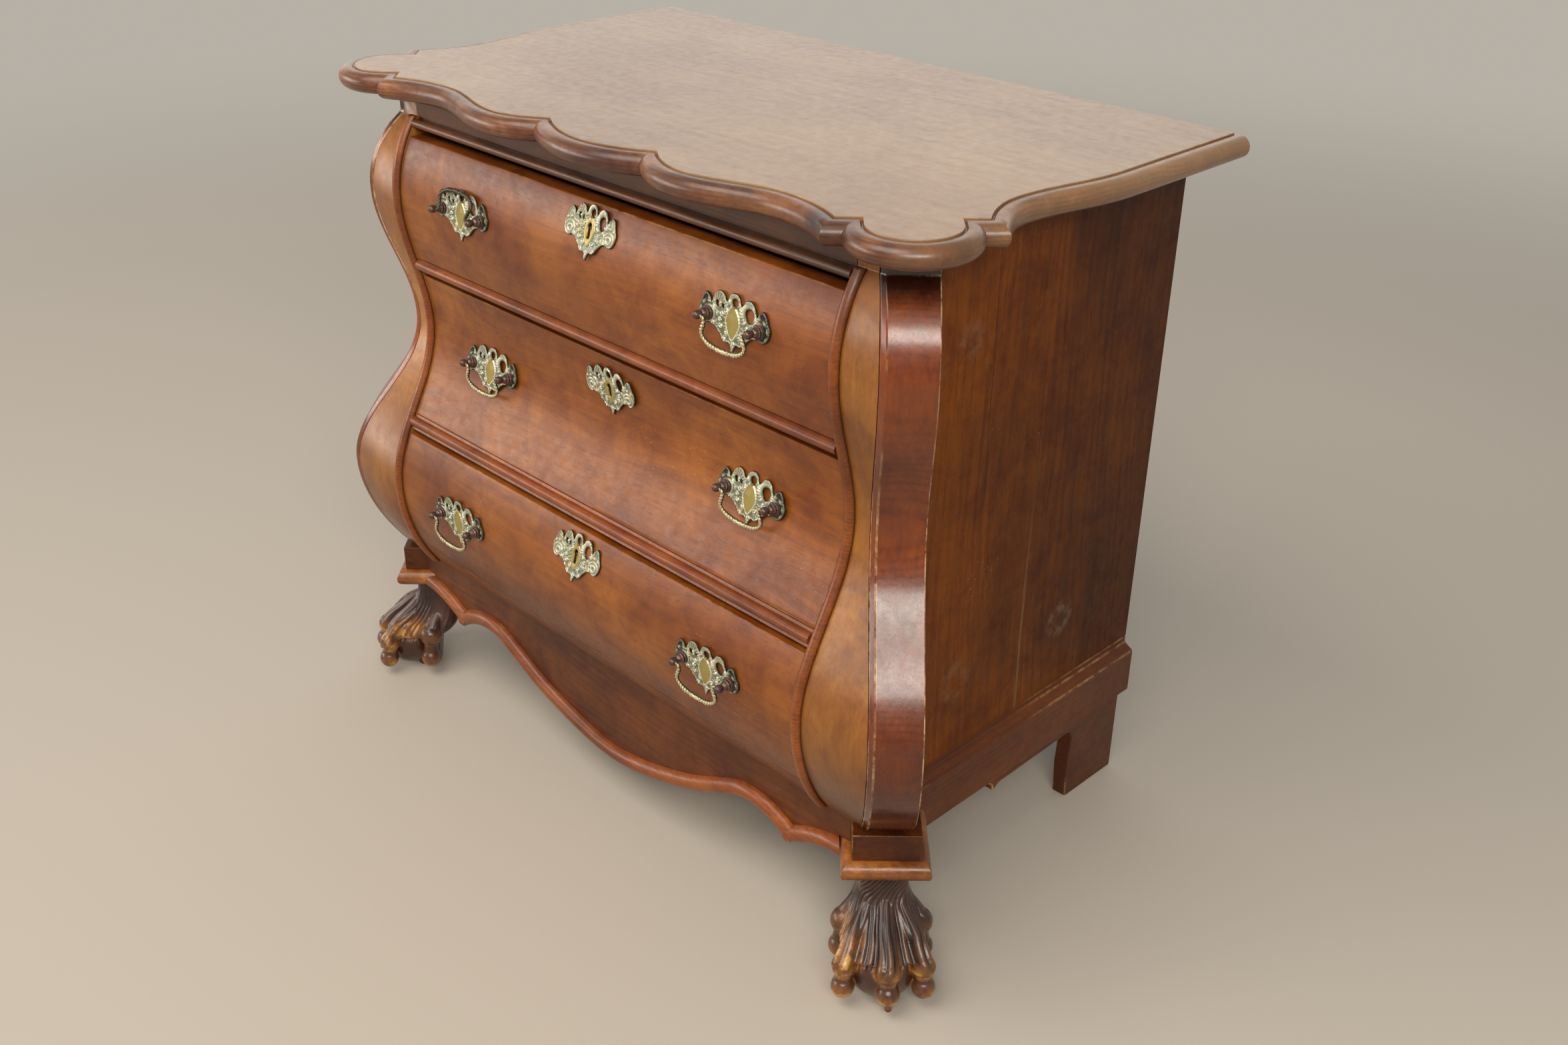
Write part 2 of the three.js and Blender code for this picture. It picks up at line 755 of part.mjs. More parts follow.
// Levels of the leg and paw from the top down, in shares of the foot size: up, front, back, half width
const legShares = [
  [4, -0.43, -1.94, 0.88],
  [3.4, -0.48, -1.96, 0.76],
  [3.0, -0.48, -1.97, 0.7],
  [2.55, -0.3, -2, 0.8],
  [2.1, 0.2, -1.97, 0.97],
  [1.75, 0.6, -1.9, 1.05],
  [1.45, 0.74, -1.77, 1.08],
  [1.15, 0.62, -1.65, 1.02],
  [0.7, 0.5, -1.5, 0.95],
  [0, 0.25, -1.17, 0.62],
];

// Toes, as shares of the foot size: knuckle out, across and up, then nail out, across and up
const toeShares = [
  [0.91, 0.1, 1.45, 1.13, 0.12, 0.74],
  [0.57, 1.15, 1.43, 0.7, 1.2, 0.67],
  [0.57, -1.15, 1.43, 0.7, -1.2, 0.67],
  [-0.95, 1.22, 1.6, -0.89, 1.28, 0.75],
  [-0.95, -1.22, 1.6, -0.89, -1.28, 0.75],
];
const toeRootShares = { out: -0.62, across: 0.35, up: 2.8 };

function ball(radius, centre, sides = 8) {
  const geometry = new THREE.SphereGeometry(radius, sides, sides - 2);
  return geometry.rotateX(Math.PI / 2).translate(...centre.toArray());
}

function limb(from, to, radiusFrom, radiusTo) {
  const along = to.clone().sub(from);
  const geometry = new THREE.CylinderGeometry(radiusTo, radiusFrom, along.length(), 6);
  const up = new THREE.Vector3(0, 1, 0);
  geometry.applyQuaternion(new THREE.Quaternion().setFromUnitVectors(up, along.normalize()));
  return geometry.translate(...from.clone().add(to).multiplyScalar(0.5).toArray());
}

// A rounded square ring at one level of the leg
function legRing([up, front, back, half]) {
  const [middle, reach] = [(front + back) / 2, (front - back) / 2];
  return arcPoints(0, 2 * Math.PI, 14).slice(1).map((angle) => {
    const [c, s] = [Math.cos(angle), Math.sin(angle)];
    const swell = 1 / Math.sqrt(Math.max(Math.abs(c), Math.abs(s)));
    return new THREE.Vector3(middle + reach * c * swell, half * s * swell, up).multiplyScalar(footSize);
  });
}

function clawFootLocal() {
  const pieces = [loft(legShares.map(legRing)), ball(footSize, new THREE.Vector3(0, 0, footSize), 12)];
  toeShares.forEach((shares) => {
    const knuckle = new THREE.Vector3(...shares.slice(0, 3)).multiplyScalar(footSize);
    const nail = new THREE.Vector3(...shares.slice(3)).multiplyScalar(footSize);
    const rootAcross = toeRootShares.across * Math.sign(Math.round(shares[1]));
    const root = new THREE.Vector3(toeRootShares.out, rootAcross, toeRootShares.up).multiplyScalar(footSize);
    pieces.push(limb(root, knuckle, toeRootRadius, knuckleRadius), ball(knuckleRadius, knuckle));
    pieces.push(limb(knuckle, nail, knuckleRadius / 2, nailRadius / 2), ball(nailRadius, nail));
  });
  const [far, top] = [3 * footSize, capUnder - seat];
  return cut(union(pieces), box(-far, far, -far, far, top, top + overrun));
}

function clawFoot() {
  const origin = cornerPoint(blockFront + capReach, 0, 0);
  return clawFootLocal().rotateZ(-Math.PI / 4).translate(origin.x, origin.y, 0);
}

// Drawers

const topDrawerOver = friezeUnder - 2 * topBeadRadius - drawerTopGap / 2 - drawerTopGap;
const drawers = [
  { name: 'drawer_1', under: upperRailTop + drawerRunGap, over: topDrawerOver },
  { name: 'drawer_2', under: lowerRailTop + drawerRunGap, over: upperRailTop - railThick - drawerTopGap },
  { name: 'drawer_3', under: bottomRailTop + drawerRunGap, over: lowerRailTop - railThick - drawerTopGap },
];

function drawerFront({ under, over }) {
  const heights = heightsBetween(under, over, drawerFacetRise);
  const outer = heights.map((z) => [frontDepth(z), z]);
  const inner = heights.map((z) => [frontDepth(z) - frontThick, z]).reverse();
  return sideways([...outer, ...inner], -drawerHalf, drawerHalf);
}

function drawerSide({ under, over }) {
  const heights = heightsBetween(under, over - boxSideDrop, drawerFacetRise);
  const curve = heights.map((z) => [frontDepth(z) - frontThick - seat, z]);
  const outline = [[boxRearDepth, under], ...curve, [boxRearDepth, over - boxSideDrop]];
  return sideways(outline, boxHalf - boxSideThick, boxHalf);
}

function drawerBack({ under, over }) {
  const inner = boxHalf - boxSideThick;
  const low = under + boxBottomRaise + boxBottomThick;
  const high = over - 2 * boxSideDrop;
  return box(-inner, inner, yOf(boxRearDepth + boxBackThick), yOf(boxRearDepth), low, high);
}

function drawerBottom({ under }) {
  const inner = boxHalf - boxSideThick;
  const low = under + boxBottomRaise;
  const high = low + boxBottomThick;
  const reach = Math.min(frontDepth(low), frontDepth(high)) - frontThick - 2 * seat;
  return box(-inner, inner, yOf(reach), yOf(boxRearDepth), low, high);
}

// Fittings, each in its own frame: x across, -y out of the drawer, z up

// The right half of a plate's outline, as shares of its half width and of its reach up or down
const plateOutlineShares = [
  [0, -1], [0.09, -0.74], [0.2, -0.78], [0.33, -0.6], [0.45, -0.42], [0.6, -0.3], [0.78, -0.36], [0.95, -0.2],
  [1, 0.1], [0.92, 0.34], [0.86, 0.62], [0.74, 0.72], [0.64, 0.5], [0.6, 0.62], [0.5, 0.86], [0.34, 0.88],
  [0.2, 0.66], [0.14, 0.84], [0.04, 1],
];
const archHoleShares = { x: 0.4, z: 0.52, wide: 0.1, high: 0.18 };
const crestHoleShares = { x: 0, z: 0.74, wide: 0.07, high: 0.12 };

function plateShape(half) {
  const scale = ([x, z]) => [x * half, z * (z < 0 ? plateDown : plateUp)];
  const right = plateOutlineShares.map(scale);
  const left = right.slice(1).map(([x, z]) => [-x, z]).reverse();
  const shape = new THREE.Shape([...right, ...left].map(([x, z]) => new THREE.Vector2(x, z)));
  const hole = ({ x, z, wide, high }, side) => {
    const path = new THREE.Path();
    path.absellipse(side * x * half, z * plateUp, wide * half, high * plateUp, 0, 2 * Math.PI, true, 0);
    return path;
  };
  shape.holes.push(hole(archHoleShares, 1), hole(archHoleShares, -1), hole(crestHoleShares, 1));
  return shape;
}

// A flat shape in x and z, stood up so that it grows outwards
function stood(shape, thick, curveSegments) {
  const geometry = new THREE.ExtrudeGeometry(shape, { depth: thick, bevelEnabled: false, curveSegments });
  return geometry.rotateX(Math.PI / 2);
}

// The turned post that carries one end of the bail: radius and reach, as shares of its base and its length
const postShares = [
  [0, 0], [1, 0], [1, 0.13], [0.62, 0.24], [0.54, 0.42],
  [0.54, 0.66], [0.42, 0.72], [0.6, 0.84], [0.42, 0.97], [0, 1],
];

function post(side) {
  const profile = postShares.map(([r, y]) => new THREE.Vector2(r * postBaseRadius, y * postReach));
  const turned = new THREE.LatheGeometry(profile, 8);
  turned.rotateX(Math.PI).translate(side * postX, 0, 0);
  const eye = new THREE.CylinderGeometry(eyeRadius, eyeRadius, 4 * postNeckRadius, 6);
  eye.rotateZ(Math.PI / 2).translate(side * postX, -pivotReach, 0);
  return cut(turned, eye);
}

function handlePlate() {
  return union([stood(plateShape(plateHalf), plateThick, 4), post(1), post(-1)]);
}

// The right half of the bail's bow, as shares of its half width and of its drop
const bowShares = [[1, -0.62], [0.78, -0.86], [0.4, -0.97]];

// The bail hangs from its pins: in through the eyes, down past the posts, out and round
function bail() {
  const line = [[postX + postNeckRadius, 0], [bailShoulder + bailThick, 0]];
  line.push([bailShoulder, -bailThick / 3], [bailShoulder, -bailShoulderDrop]);
  line.push(...bowShares.map(([x, z]) => [x * bailHalf, z * bailDrop]));
  const whole = [...line, [0, -bailDrop], ...line.map(([x, z]) => [-x, z]).reverse()];
  const last = whole.length - 1;
  return loft(
    whole.map(([x, z], i) => {
      const [ahead, behind] = [whole[Math.min(i + 1, last)], whole[Math.max(i - 1, 0)]];
      const along = new THREE.Vector2(ahead[0] - behind[0], ahead[1] - behind[1]).normalize();
      const pin = i <= 1 || i >= last - 1;
      const thick = bailThin + (bailThick - bailThin) * (1 - Math.abs(x) / bailHalf) ** 2;
      const radius = pin ? pinRadius : Math.min(thick, bailThick);
      return arcPoints(0, 2 * Math.PI, 8).slice(0, -1).map((angle) => {
        const [across, out] = [radius * Math.cos(angle), radius * Math.sin(angle)];
        return new THREE.Vector3(x - along.y * across, out, z + along.x * across);
      });
    }),
  );
}

function scutcheon() {
  const rim = new THREE.Shape();
  rim.absellipse(0, 0, rimHalfWide, rimHalfHigh, 0, 2 * Math.PI, false, 0);
  const slot = new THREE.Shape();
  slot.absellipse(0, keyHalfHigh / 2, keyHalfWide, keyHalfHigh / 2, 0, 2 * Math.PI, false, 0);
  const slit = new THREE.Shape();
  slit.absellipse(0, -keyHalfHigh / 4, slitHalfWide, slitHalfHigh, 0, 2 * Math.PI, false, 0);
  const flat = stood(plateShape(scutcheonHalf), plateThick, 4);
  const plate = union([flat, stood(rim, plateThick + rimProud, 7)]);
  const tools = [slot, slit].map((shape) => stood(shape, overrun, 4).translate(0, overrun / 2, 0));
  return cut(plate, ...tools);
}

// How far a flat plate has to stand off the curved front, so that its middle or its ends touch
function standOff(z) {
  const slope = frontSlope(z);
  const rises = arcPoints(-plateDown, plateUp, 12).map((up) => {
    const along = up / Math.hypot(1, slope);
    return (frontDepth(z + along) - frontDepth(z) - slope * along) / Math.hypot(1, slope);
  });
  return Math.max(...rises, 0) + seat;
}

// A point out from the front face at a height, along the face's own direction
function outFromFront(x, z, out) {
  const tilt = Math.atan(frontSlope(z));
  return new THREE.Vector3(x, yOf(frontDepth(z) + out * Math.cos(tilt)), z - out * Math.sin(tilt));
}

// Assembly

const chest = new THREE.Group();
const finishes = {
  field: [0x8a5a38, 0.42, 0],
  moulding: [0x8c4f28, 0.36, 0],
  drawer: [0x9a5228, 0.4, 0],
  cant: [0x7d3a1c, 0.35, 0],
  side: [0x743a20, 0.45, 0],
  inside: [0xb08a58, 0.75, 0],
  foot: [0x5f2f1a, 0.4, 0],
  brass: [0x9a9468, 0.38, 0.9],
  bronze: [0x4a3a2c, 0.35, 0.9],
};

function add(name, geometry, finish) {
  const [color, roughness, metalness] = finishes[finish];
  const mesh = new THREE.Mesh(geometry, new THREE.MeshStandardMaterial({ color, roughness, metalness }));
  mesh.name = name;
  chest.add(mesh);
  return mesh;
}

function addPair(name, geometry, finish) {
  add(`${name}_right`, geometry, finish);
  add(`${name}_left`, mirrored(geometry), finish);
}

add('top_field', topField(), 'field');
add('top_moulding', topMoulding(), 'moulding');
add('frieze_rail', friezeRail(), 'moulding');
add('upper_rail', drawerRail(upperRailTop), 'moulding');
add('lower_rail', drawerRail(lowerRailTop), 'moulding');
add('bottom_rail', bottomRail(), 'moulding');
addPair('side_panel', sidePanel(), 'side');
addPair('corner_board', cornerBoard(), 'cant');
addPair('stile', stile(), 'drawer');
addPair('side_bead', sideBead(), 'moulding');
add('upper_dust_board', dustBoard(upperRailTop, railBack(upperRailTop)), 'inside');
add('lower_dust_board', dustBoard(lowerRailTop, railBack(lowerRailTop)), 'inside');
add('bottom_board', dustBoard(bottomRailTop, bottomRailBack), 'inside');
add('back_panel', backPanel(), 'side');
add('back_rail', backRail(), 'side');
addPair('side_rail', sideRail(), 'side');
addPair('rear_bracket', rearBracket(), 'side');
add('apron', apron(), 'moulding');
addPair('corner_block', cornerBlock(), 'cant');
addPair('corner_cap', cornerCap(), 'moulding');
addPair('claw_foot', clawFoot(), 'foot');

drawers.forEach((drawer, row) => {
  const side = drawerSide(drawer);
  add(`${drawer.name}_front`, drawerFront(drawer), 'drawer');
  add(`${drawer.name}_side_right`, side, 'inside');
  add(`${drawer.name}_side_left`, mirrored(side), 'inside');
  add(`${drawer.name}_back`, drawerBack(drawer), 'inside');
  add(`${drawer.name}_bottom`, drawerBottom(drawer), 'inside');
  const z = handleHeights[row];
  [['left', -1], ['right', 1]].forEach(([word, sign]) => {
    const plate = add(`${drawer.name}_plate_${word}`, handlePlate(), 'brass');
    plate.position.copy(outFromFront(sign * handleX, z, standOff(z)));
    plate.rotation.x = Math.atan(frontSlope(z));
    const swing = add(`${drawer.name}_bail_${word}`, bail(), 'bronze');
    swing.position.copy(outFromFront(sign * handleX, z, standOff(z) + pivotReach));
    swing.rotation.x = row === 0 && sign < 0 ? bailRaised : 0;
  });
  const key = add(`${drawer.name}_scutcheon`, scutcheon(), 'brass');
  key.position.copy(outFromFront(0, scutcheonHeights[row], standOff(scutcheonHeights[row])));
  key.rotation.x = Math.atan(frontSlope(scutcheonHeights[row]));
});

export default chest;
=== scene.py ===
"""A three-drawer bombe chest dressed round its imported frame."""
import math

import bmesh
import bpy
import numpy as np
from mathutils import Matrix, Vector, noise
from mathutils.geometry import delaunay_2d_cdt


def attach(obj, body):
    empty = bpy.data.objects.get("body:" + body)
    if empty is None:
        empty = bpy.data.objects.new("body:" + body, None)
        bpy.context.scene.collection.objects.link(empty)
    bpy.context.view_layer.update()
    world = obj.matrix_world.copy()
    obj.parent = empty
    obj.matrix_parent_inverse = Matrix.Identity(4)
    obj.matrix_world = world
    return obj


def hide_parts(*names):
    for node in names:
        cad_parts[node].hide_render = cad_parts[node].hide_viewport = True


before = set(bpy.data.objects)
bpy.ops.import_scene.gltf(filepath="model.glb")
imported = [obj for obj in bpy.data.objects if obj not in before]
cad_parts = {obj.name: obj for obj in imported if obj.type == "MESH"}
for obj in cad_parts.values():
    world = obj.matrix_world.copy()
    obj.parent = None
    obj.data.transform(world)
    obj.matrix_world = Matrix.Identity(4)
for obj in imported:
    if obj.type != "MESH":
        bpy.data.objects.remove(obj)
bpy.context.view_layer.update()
MM = 0.001

# Sizes of the chest in millimetres, as the frame has them. A depth is forwards from the rear plane.
HEIGHT = 800
REAR_Y = 276.65
TOP_UNDER = 777
FRIEZE_UNDER = 752
OPENING_HALF = 336
SIDE_OUTER = 372.77
CORNER_LINE = 54
CANT_REACH = 36.77
CANT_LIP = 8
CANT_LOW = CORNER_LINE + CANT_REACH
BOARD_OUTER_DEPTH, BOARD_INNER_DEPTH, STILE_BACK_DEPTH = 390, 426.77, 427.2
BASE_TOP = 190
SEAT = 0.3
UPPER_HEIGHT, UPPER_DEPTH = 662, 484.5
WAIST_HEIGHT, WAIST_DEPTH = 508, 457.5
BELLY_HEIGHT, BELLY_DEPTH = 311, 525
SHOULDER_RADIUS, UNDER_RADIUS = 144, 200
RAIL_THICK = 16
BEAD_RADIUS = 6
FRONT_THICK = 20
DRAWER_HALF = 334.5


def arc_drop(depth, radius, along):
    return depth - radius + math.sqrt(radius * radius - along * along)


def ease(share):
    return (1 - math.cos(math.pi * share)) / 2


def front_depth(z):
    """Depth of the serpentine front face at a height."""
    if z >= UPPER_HEIGHT:
        return arc_drop(UPPER_DEPTH, SHOULDER_RADIUS, z - UPPER_HEIGHT)
    if z >= WAIST_HEIGHT:
        share = (z - WAIST_HEIGHT) / (UPPER_HEIGHT - WAIST_HEIGHT)
        return WAIST_DEPTH + (UPPER_DEPTH - WAIST_DEPTH) * ease(share)
    if z >= BELLY_HEIGHT:
        share = (z - BELLY_HEIGHT) / (WAIST_HEIGHT - BELLY_HEIGHT)
        return BELLY_DEPTH + (WAIST_DEPTH - BELLY_DEPTH) * ease(share)
    return arc_drop(BELLY_DEPTH, UNDER_RADIUS, BELLY_HEIGHT - z)


def front_slope(z):
    return (front_depth(z + 0.1) - front_depth(z - 0.1)) / 0.2


def spot(x, depth, z):
    """A point in metres from its x, depth and height in millimetres."""
    return Vector((x, REAR_Y - depth, z)) * MM


def out_from_front(x, z, out):
    """A point out from the front face at a height, along the face's own direction, in metres."""
    tilt = math.atan(front_slope(z))
    return spot(x, front_depth(z) + out * math.cos(tilt), z - out * math.sin(tilt))


def corner_place(out, across):
    """The x and depth of a point in the right front corner's own frame."""
    total = out * math.sqrt(2)
    difference = across * math.sqrt(2) - CORNER_LINE
    return (total + difference) / 2, (total - difference) / 2


def steps(start, end, count):
    return [start + (end - start) * i / count for i in range(count + 1)]


def between(a, b, across, along):
    """A point from a to b, by one share in its first size and by another in its second."""
    return a[0] + (b[0] - a[0]) * across, a[1] + (b[1] - a[1]) * along


def half_turn(count):
    return steps(-math.pi / 2, math.pi / 2, count)


def around(count):
    """The angles of a full turn, without the last one, which is the first again."""
    return steps(0, 2 * math.pi, count)[:-1]


def heights(low, high, rise=5):
    return steps(low, high, max(1, round((high - low) / rise)))


def fade(value, low, high):
    """0 below low, 1 above high, and smooth between them, either way round."""
    share = np.clip((value - low) / (high - low), 0, 1)
    return share * share * (3 - 2 * share)


def curve_through(points, count, closed=False):
    """A smooth run of points through the given ones."""
    given = np.array([tuple(p) for p in points], float)
    total = len(given)
    if not closed:
        given = np.vstack([2 * given[0] - given[1], given, 2 * given[-1] - given[-2]])
    run = []
    for i in range(total if closed else total - 1):
        p = [given[(i + k - 1) % total] if closed else given[i + k] for k in range(4)]
        for t in np.arange(count) / count:
            run.append(0.5 * (2 * p[1] + (p[2] - p[0]) * t + (2 * p[0] - 5 * p[1] + 4 * p[2] - p[3]) * t * t
                              + (3 * p[1] - p[0] - 3 * p[2] + p[3]) * t ** 3))
    if not closed:
        run.append(given[-2])
    return np.array(run)


def neighbours(line, i):
    """The points after and before one of a line, or the point itself at an end."""
    return line[min(i + 1, len(line) - 1)], line[max(i - 1, 0)]


# Mesh helpers

def shown(name, mesh):
    """A mesh as a new object of the scene."""
    made = bpy.data.objects.new(name, mesh)
    bpy.context.scene.collection.objects.link(made)
    return made


def mesh_object(name, points, faces):
    mesh = bpy.data.meshes.new(name)
    mesh.from_pydata([tuple(p) for p in points], [], faces)
    mesh.update()
    return shown(name, mesh)


def face_outwards(mesh, weld=None, flatten=False):
    """Turns all faces outwards, after welding near points and making flat faces whole where asked."""
    work = bmesh.new()
    work.from_mesh(mesh)
    if weld:
        bmesh.ops.remove_doubles(work, verts=work.verts, dist=weld)
    if flatten:
        bmesh.ops.dissolve_limit(work, angle_limit=math.radians(1), verts=work.verts, edges=work.edges)
    bmesh.ops.recalc_face_normals(work, faces=work.faces)
    work.to_mesh(mesh)
    work.free()


def loft(name, rings):
    """A skin through closed rings of points, its first and last ring filled."""
    count = len(rings[0])
    faces = []
    for low in range(0, (len(rings) - 1) * count, count):
        for i in range(count):
            j = (i + 1) % count
            faces.append((low + i, low + j, low + count + j, low + count + i))
    faces.append(tuple(reversed(range(count))))
    faces.append(tuple(range((len(rings) - 1) * count, len(rings) * count)))
    made = mesh_object(name, [p for ring in rings for p in ring], faces)
    face_outwards(made.data, weld=1e-6)
    return made


def settle(made):
    """Applies every modifier to the mesh."""
    bpy.context.view_layer.update()
    held = made.evaluated_get(bpy.context.evaluated_depsgraph_get())
    made.data = bpy.data.meshes.new_from_object(held)
    made.modifiers.clear()


def smoothed(made, degrees=32):
    for face in made.data.polygons:
        face.use_smooth = True
    made.data.set_sharp_from_angle(angle=math.radians(degrees))
    return made


def set_mask(made, name, values, domain="POINT"):
    mask_layer = made.data.attributes.new(name, "FLOAT", domain)
    mask_layer.data.foreach_set("value", np.asarray(values, np.float32))


def rounded(made, width=1.0, rows=2, degrees=30):
    """Rounds the arrises of a piece and marks them as arrises."""
    for _ in range(2):
        made.data.materials.append(None)
    worn = made.modifiers.new("arris", "BEVEL")
    worn.width = width * MM
    worn.segments = rows
    worn.limit_method = "ANGLE"
    worn.angle_limit = math.radians(degrees)
    worn.miter_outer = "MITER_ARC"
    worn.use_clamp_overlap = True
    worn.material = 1
    settle(made)
    smoothed(made)
    level = made.modifiers.new("level", "WEIGHTED_NORMAL")
    level.weight, level.keep_sharp = 90, True
    settle(made)
    rows_made = [face.material_index for face in made.data.polygons]
    set_mask(made, "arris", rows_made, "FACE")
    made.data.polygons.foreach_set("material_index", [0] * len(rows_made))
    made.data.materials.clear()
    return made


def points_of(mesh):
    """The points of a mesh and their normals."""
    co = np.zeros(len(mesh.vertices) * 3)
    mesh.vertices.foreach_get("co", co)
    normal = np.zeros(len(mesh.vertices) * 3)
    mesh.vertex_normals.foreach_get("vector", normal)
    return co.reshape(-1, 3), normal.reshape(-1, 3)


def copy_of(node):
    """A piece with the flat faces of a node made whole, in place of its triangles."""
    made = shown("new_" + node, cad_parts[node].data.copy())
    face_outwards(made.data, weld=1e-5, flatten=True)
    return made


def other_side(made, name):
    """The same piece on the left of the chest."""
    twin = shown(name, made.data.copy())
    twin.data.transform(Matrix.Diagonal((-1, 1, 1, 1)))
    twin.data.flip_normals()
    return twin


def join_meshes(name, parts):
    """One mesh out of many, which are removed."""
    work = bmesh.new()
    for part in parts:
        part.data.transform(part.matrix_world)
        work.from_mesh(part.data)
        bpy.data.objects.remove(part)
    mesh = bpy.data.meshes.new(name)
    work.to_mesh(mesh)
    work.free()
    return shown(name, mesh)


def paint(piece, finish):
    """Gives a piece one finish, in place of any other."""
    piece.data.materials.clear()
    piece.data.materials.append(finish)


def dress(piece, finish, slot, *stands_for, body="case"):
    """Gives a piece its finish, its body and the nodes that it stands for; the slot is not used."""
    paint(piece, finish)
    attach(piece, body)
    if stands_for:
        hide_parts(*stands_for)


def both_sides(made, node, finish, slot):
    """Dresses a right-hand piece and its left-hand twin."""
    twin = other_side(made, f"new_{node}_left")
    dress(made, finish, slot, node + "_right")
    dress(twin, finish, slot, node + "_left")


# Shader helpers

def tone(text):
    """A linear colour from its written form."""
    parts = [int(text[i:i + 2], 16) / 255 for i in (0, 2, 4)]
    return tuple(p / 12.92 if p <= 0.04045 else ((p + 0.055) / 1.055) ** 2.4 for p in parts) + (1.0,)


def fill(made, inputs):
    """Links or sets the inputs of a node."""
    for key, value in inputs.items():
        if isinstance(value, Flow):
            value.tree.links.new(value.socket, made.inputs[key])
        else:
            made.inputs[key].default_value = tone(value) if isinstance(value, str) else value
    return made


def place(tree, kind, inputs=None, **settings):
    """Adds a node and sets it up."""
    made = tree.nodes.new(kind)
    for key, value in settings.items():
        setattr(made, key, value)
    return fill(made, inputs or {})


def flow(tree, kind, inputs=None, **settings):
    """The first output of a new node."""
    return Flow(place(tree, kind, inputs, **settings).outputs[0])


def flows(made):
    """The outputs of a node by their names."""
    return {socket.name: Flow(socket) for socket in made.outputs}


def maths(operation, *values):
    tree = next(value.tree for value in values if isinstance(value, Flow))
    return flow(tree, "ShaderNodeMath", dict(enumerate(values)), operation=operation)


class Flow:
    """What comes out of a node, so that sums are written in the usual way."""

    def __init__(self, socket):
        self.socket, self.tree = socket, socket.id_data

    def __add__(self, other):
        return maths("ADD", self, other)

    def __sub__(self, other):
        return maths("SUBTRACT", self, other)

    def __rsub__(self, other):
        return maths("SUBTRACT", other, self)

    def __mul__(self, other):
        return maths("MULTIPLY", self, other)

    def __abs__(self):
        return maths("ABSOLUTE", self)

    def spread(self, low, high, to_low=0.0, to_high=1.0):
        """Stretches a range of values to another."""
        inputs = {0: self, 1: low, 2: high, 3: to_low, 4: to_high}
        return flow(self.tree, "ShaderNodeMapRange", inputs, clamp=True)

    def stretched(self, along):
        """A place whose pattern is drawn out along x."""
        return flow(self.tree, "ShaderNodeVectorMath", {0: self, 1: (along, 1.0, 1.0)}, operation="MULTIPLY")

    def length(self):
        return flows(place(self.tree, "ShaderNodeVectorMath", {0: self}, operation="LENGTH"))["Value"]

    def cloud(self, scale, detail=4.0, rough=0.55, warp=0.0):
        inputs = {"Vector": self, "Scale": scale, "Detail": detail, "Roughness": rough, "Distortion": warp}
        return flow(self.tree, "ShaderNodeTexNoise", inputs)

    def raised(self, depth, strength):
        """A bump from a height between 0 and 1, in metres of depth."""
        return flow(self.tree, "ShaderNodeBump", {"Height": self, "Distance": depth, "Strength": strength})


def mixed(factor, first, second, way="MIX"):
    """Mixes two colours."""
    inputs = {0: factor, 6: first, 7: second}
    return Flow(place(factor.tree, "ShaderNodeMix", inputs, data_type="RGBA", blend_type=way).outputs[2])


def mask(tree, name):
    """A mask that is stored in the mesh."""
    return flows(place(tree, "ShaderNodeAttribute", attribute_name=name))["Fac"]


def shared_group(name, inputs, build):
    """A shader group with a place and numbers going in, and the masks that build makes coming out."""
    tree = bpy.data.node_groups.new(name, "ShaderNodeTree")
    tree.interface.new_socket("Vector", in_out="INPUT", socket_type="NodeSocketVector")
    for label, value in inputs.items():
        tree.interface.new_socket(label, in_out="INPUT", socket_type="NodeSocketFloat").default_value = value
    masks = build(flows(tree.nodes.new("NodeGroupInput")))
    for label in masks:
        tree.interface.new_socket(label, in_out="OUTPUT", socket_type="NodeSocketFloat")
    fill(tree.nodes.new("NodeGroupOutput"), masks)
    return tree


def use_group(group, vector, **values):
    """The masks of a shared group at a place."""
    return flows(place(vector.tree, "ShaderNodeGroup", {"Vector": vector, **values}, node_tree=group))


def new_finish(name):
    """A material, its shader, and the place of each point in the piece's own frame."""
    finish = bpy.data.materials.new(name)
    finish.use_nodes = True
    tree = finish.node_tree
    tree.nodes.clear()
    shader = tree.nodes.new("ShaderNodeBsdfPrincipled")
    fill(tree.nodes.new("ShaderNodeOutputMaterial"), {0: Flow(shader.outputs[0])})
    return finish, shader, flows(tree.nodes.new("ShaderNodeTexCoord"))["Object"]


# Shared shader groups

def build_grain(given):
    """Grain along the vector's x: broad figure, growth rings cut by the surface, fibres and pores."""
    drift = given["Vector"].stretched(0.3).cloud(4.5, 3.0, 0.5)
    tree, swerve = drift.tree, drift * 0.08
    bend = flow(tree, "ShaderNodeCombineXYZ", {"Y": swerve, "Z": swerve})
    moved = flow(tree, "ShaderNodeVectorMath", {0: given["Vector"], 1: bend}, operation="ADD")
    figure = moved.stretched(0.14).cloud(given["Figure"], 5.0, 0.62, 0.8)
    wave = maths("SINE", (given["Across"] * given["Rings"] + drift * 9.0) * (2 * math.pi))
    faint = moved.stretched(0.06).cloud(26.0, 3.0).spread(0.36, 0.64)
    thread = moved.stretched(0.03).cloud(given["Fibre"], 4.0, 0.7)
    pore = moved.stretched(0.11).cloud(given["Fibre"] * 4.6, 2.0, 0.5)
    return {"Figure": figure.spread(0.34, 0.66), "Rings": wave.spread(-0.2, 1.0) * faint,
            "Fibre": thread.spread(0.34, 0.66), "Pores": pore.spread(0.6, 0.72)}


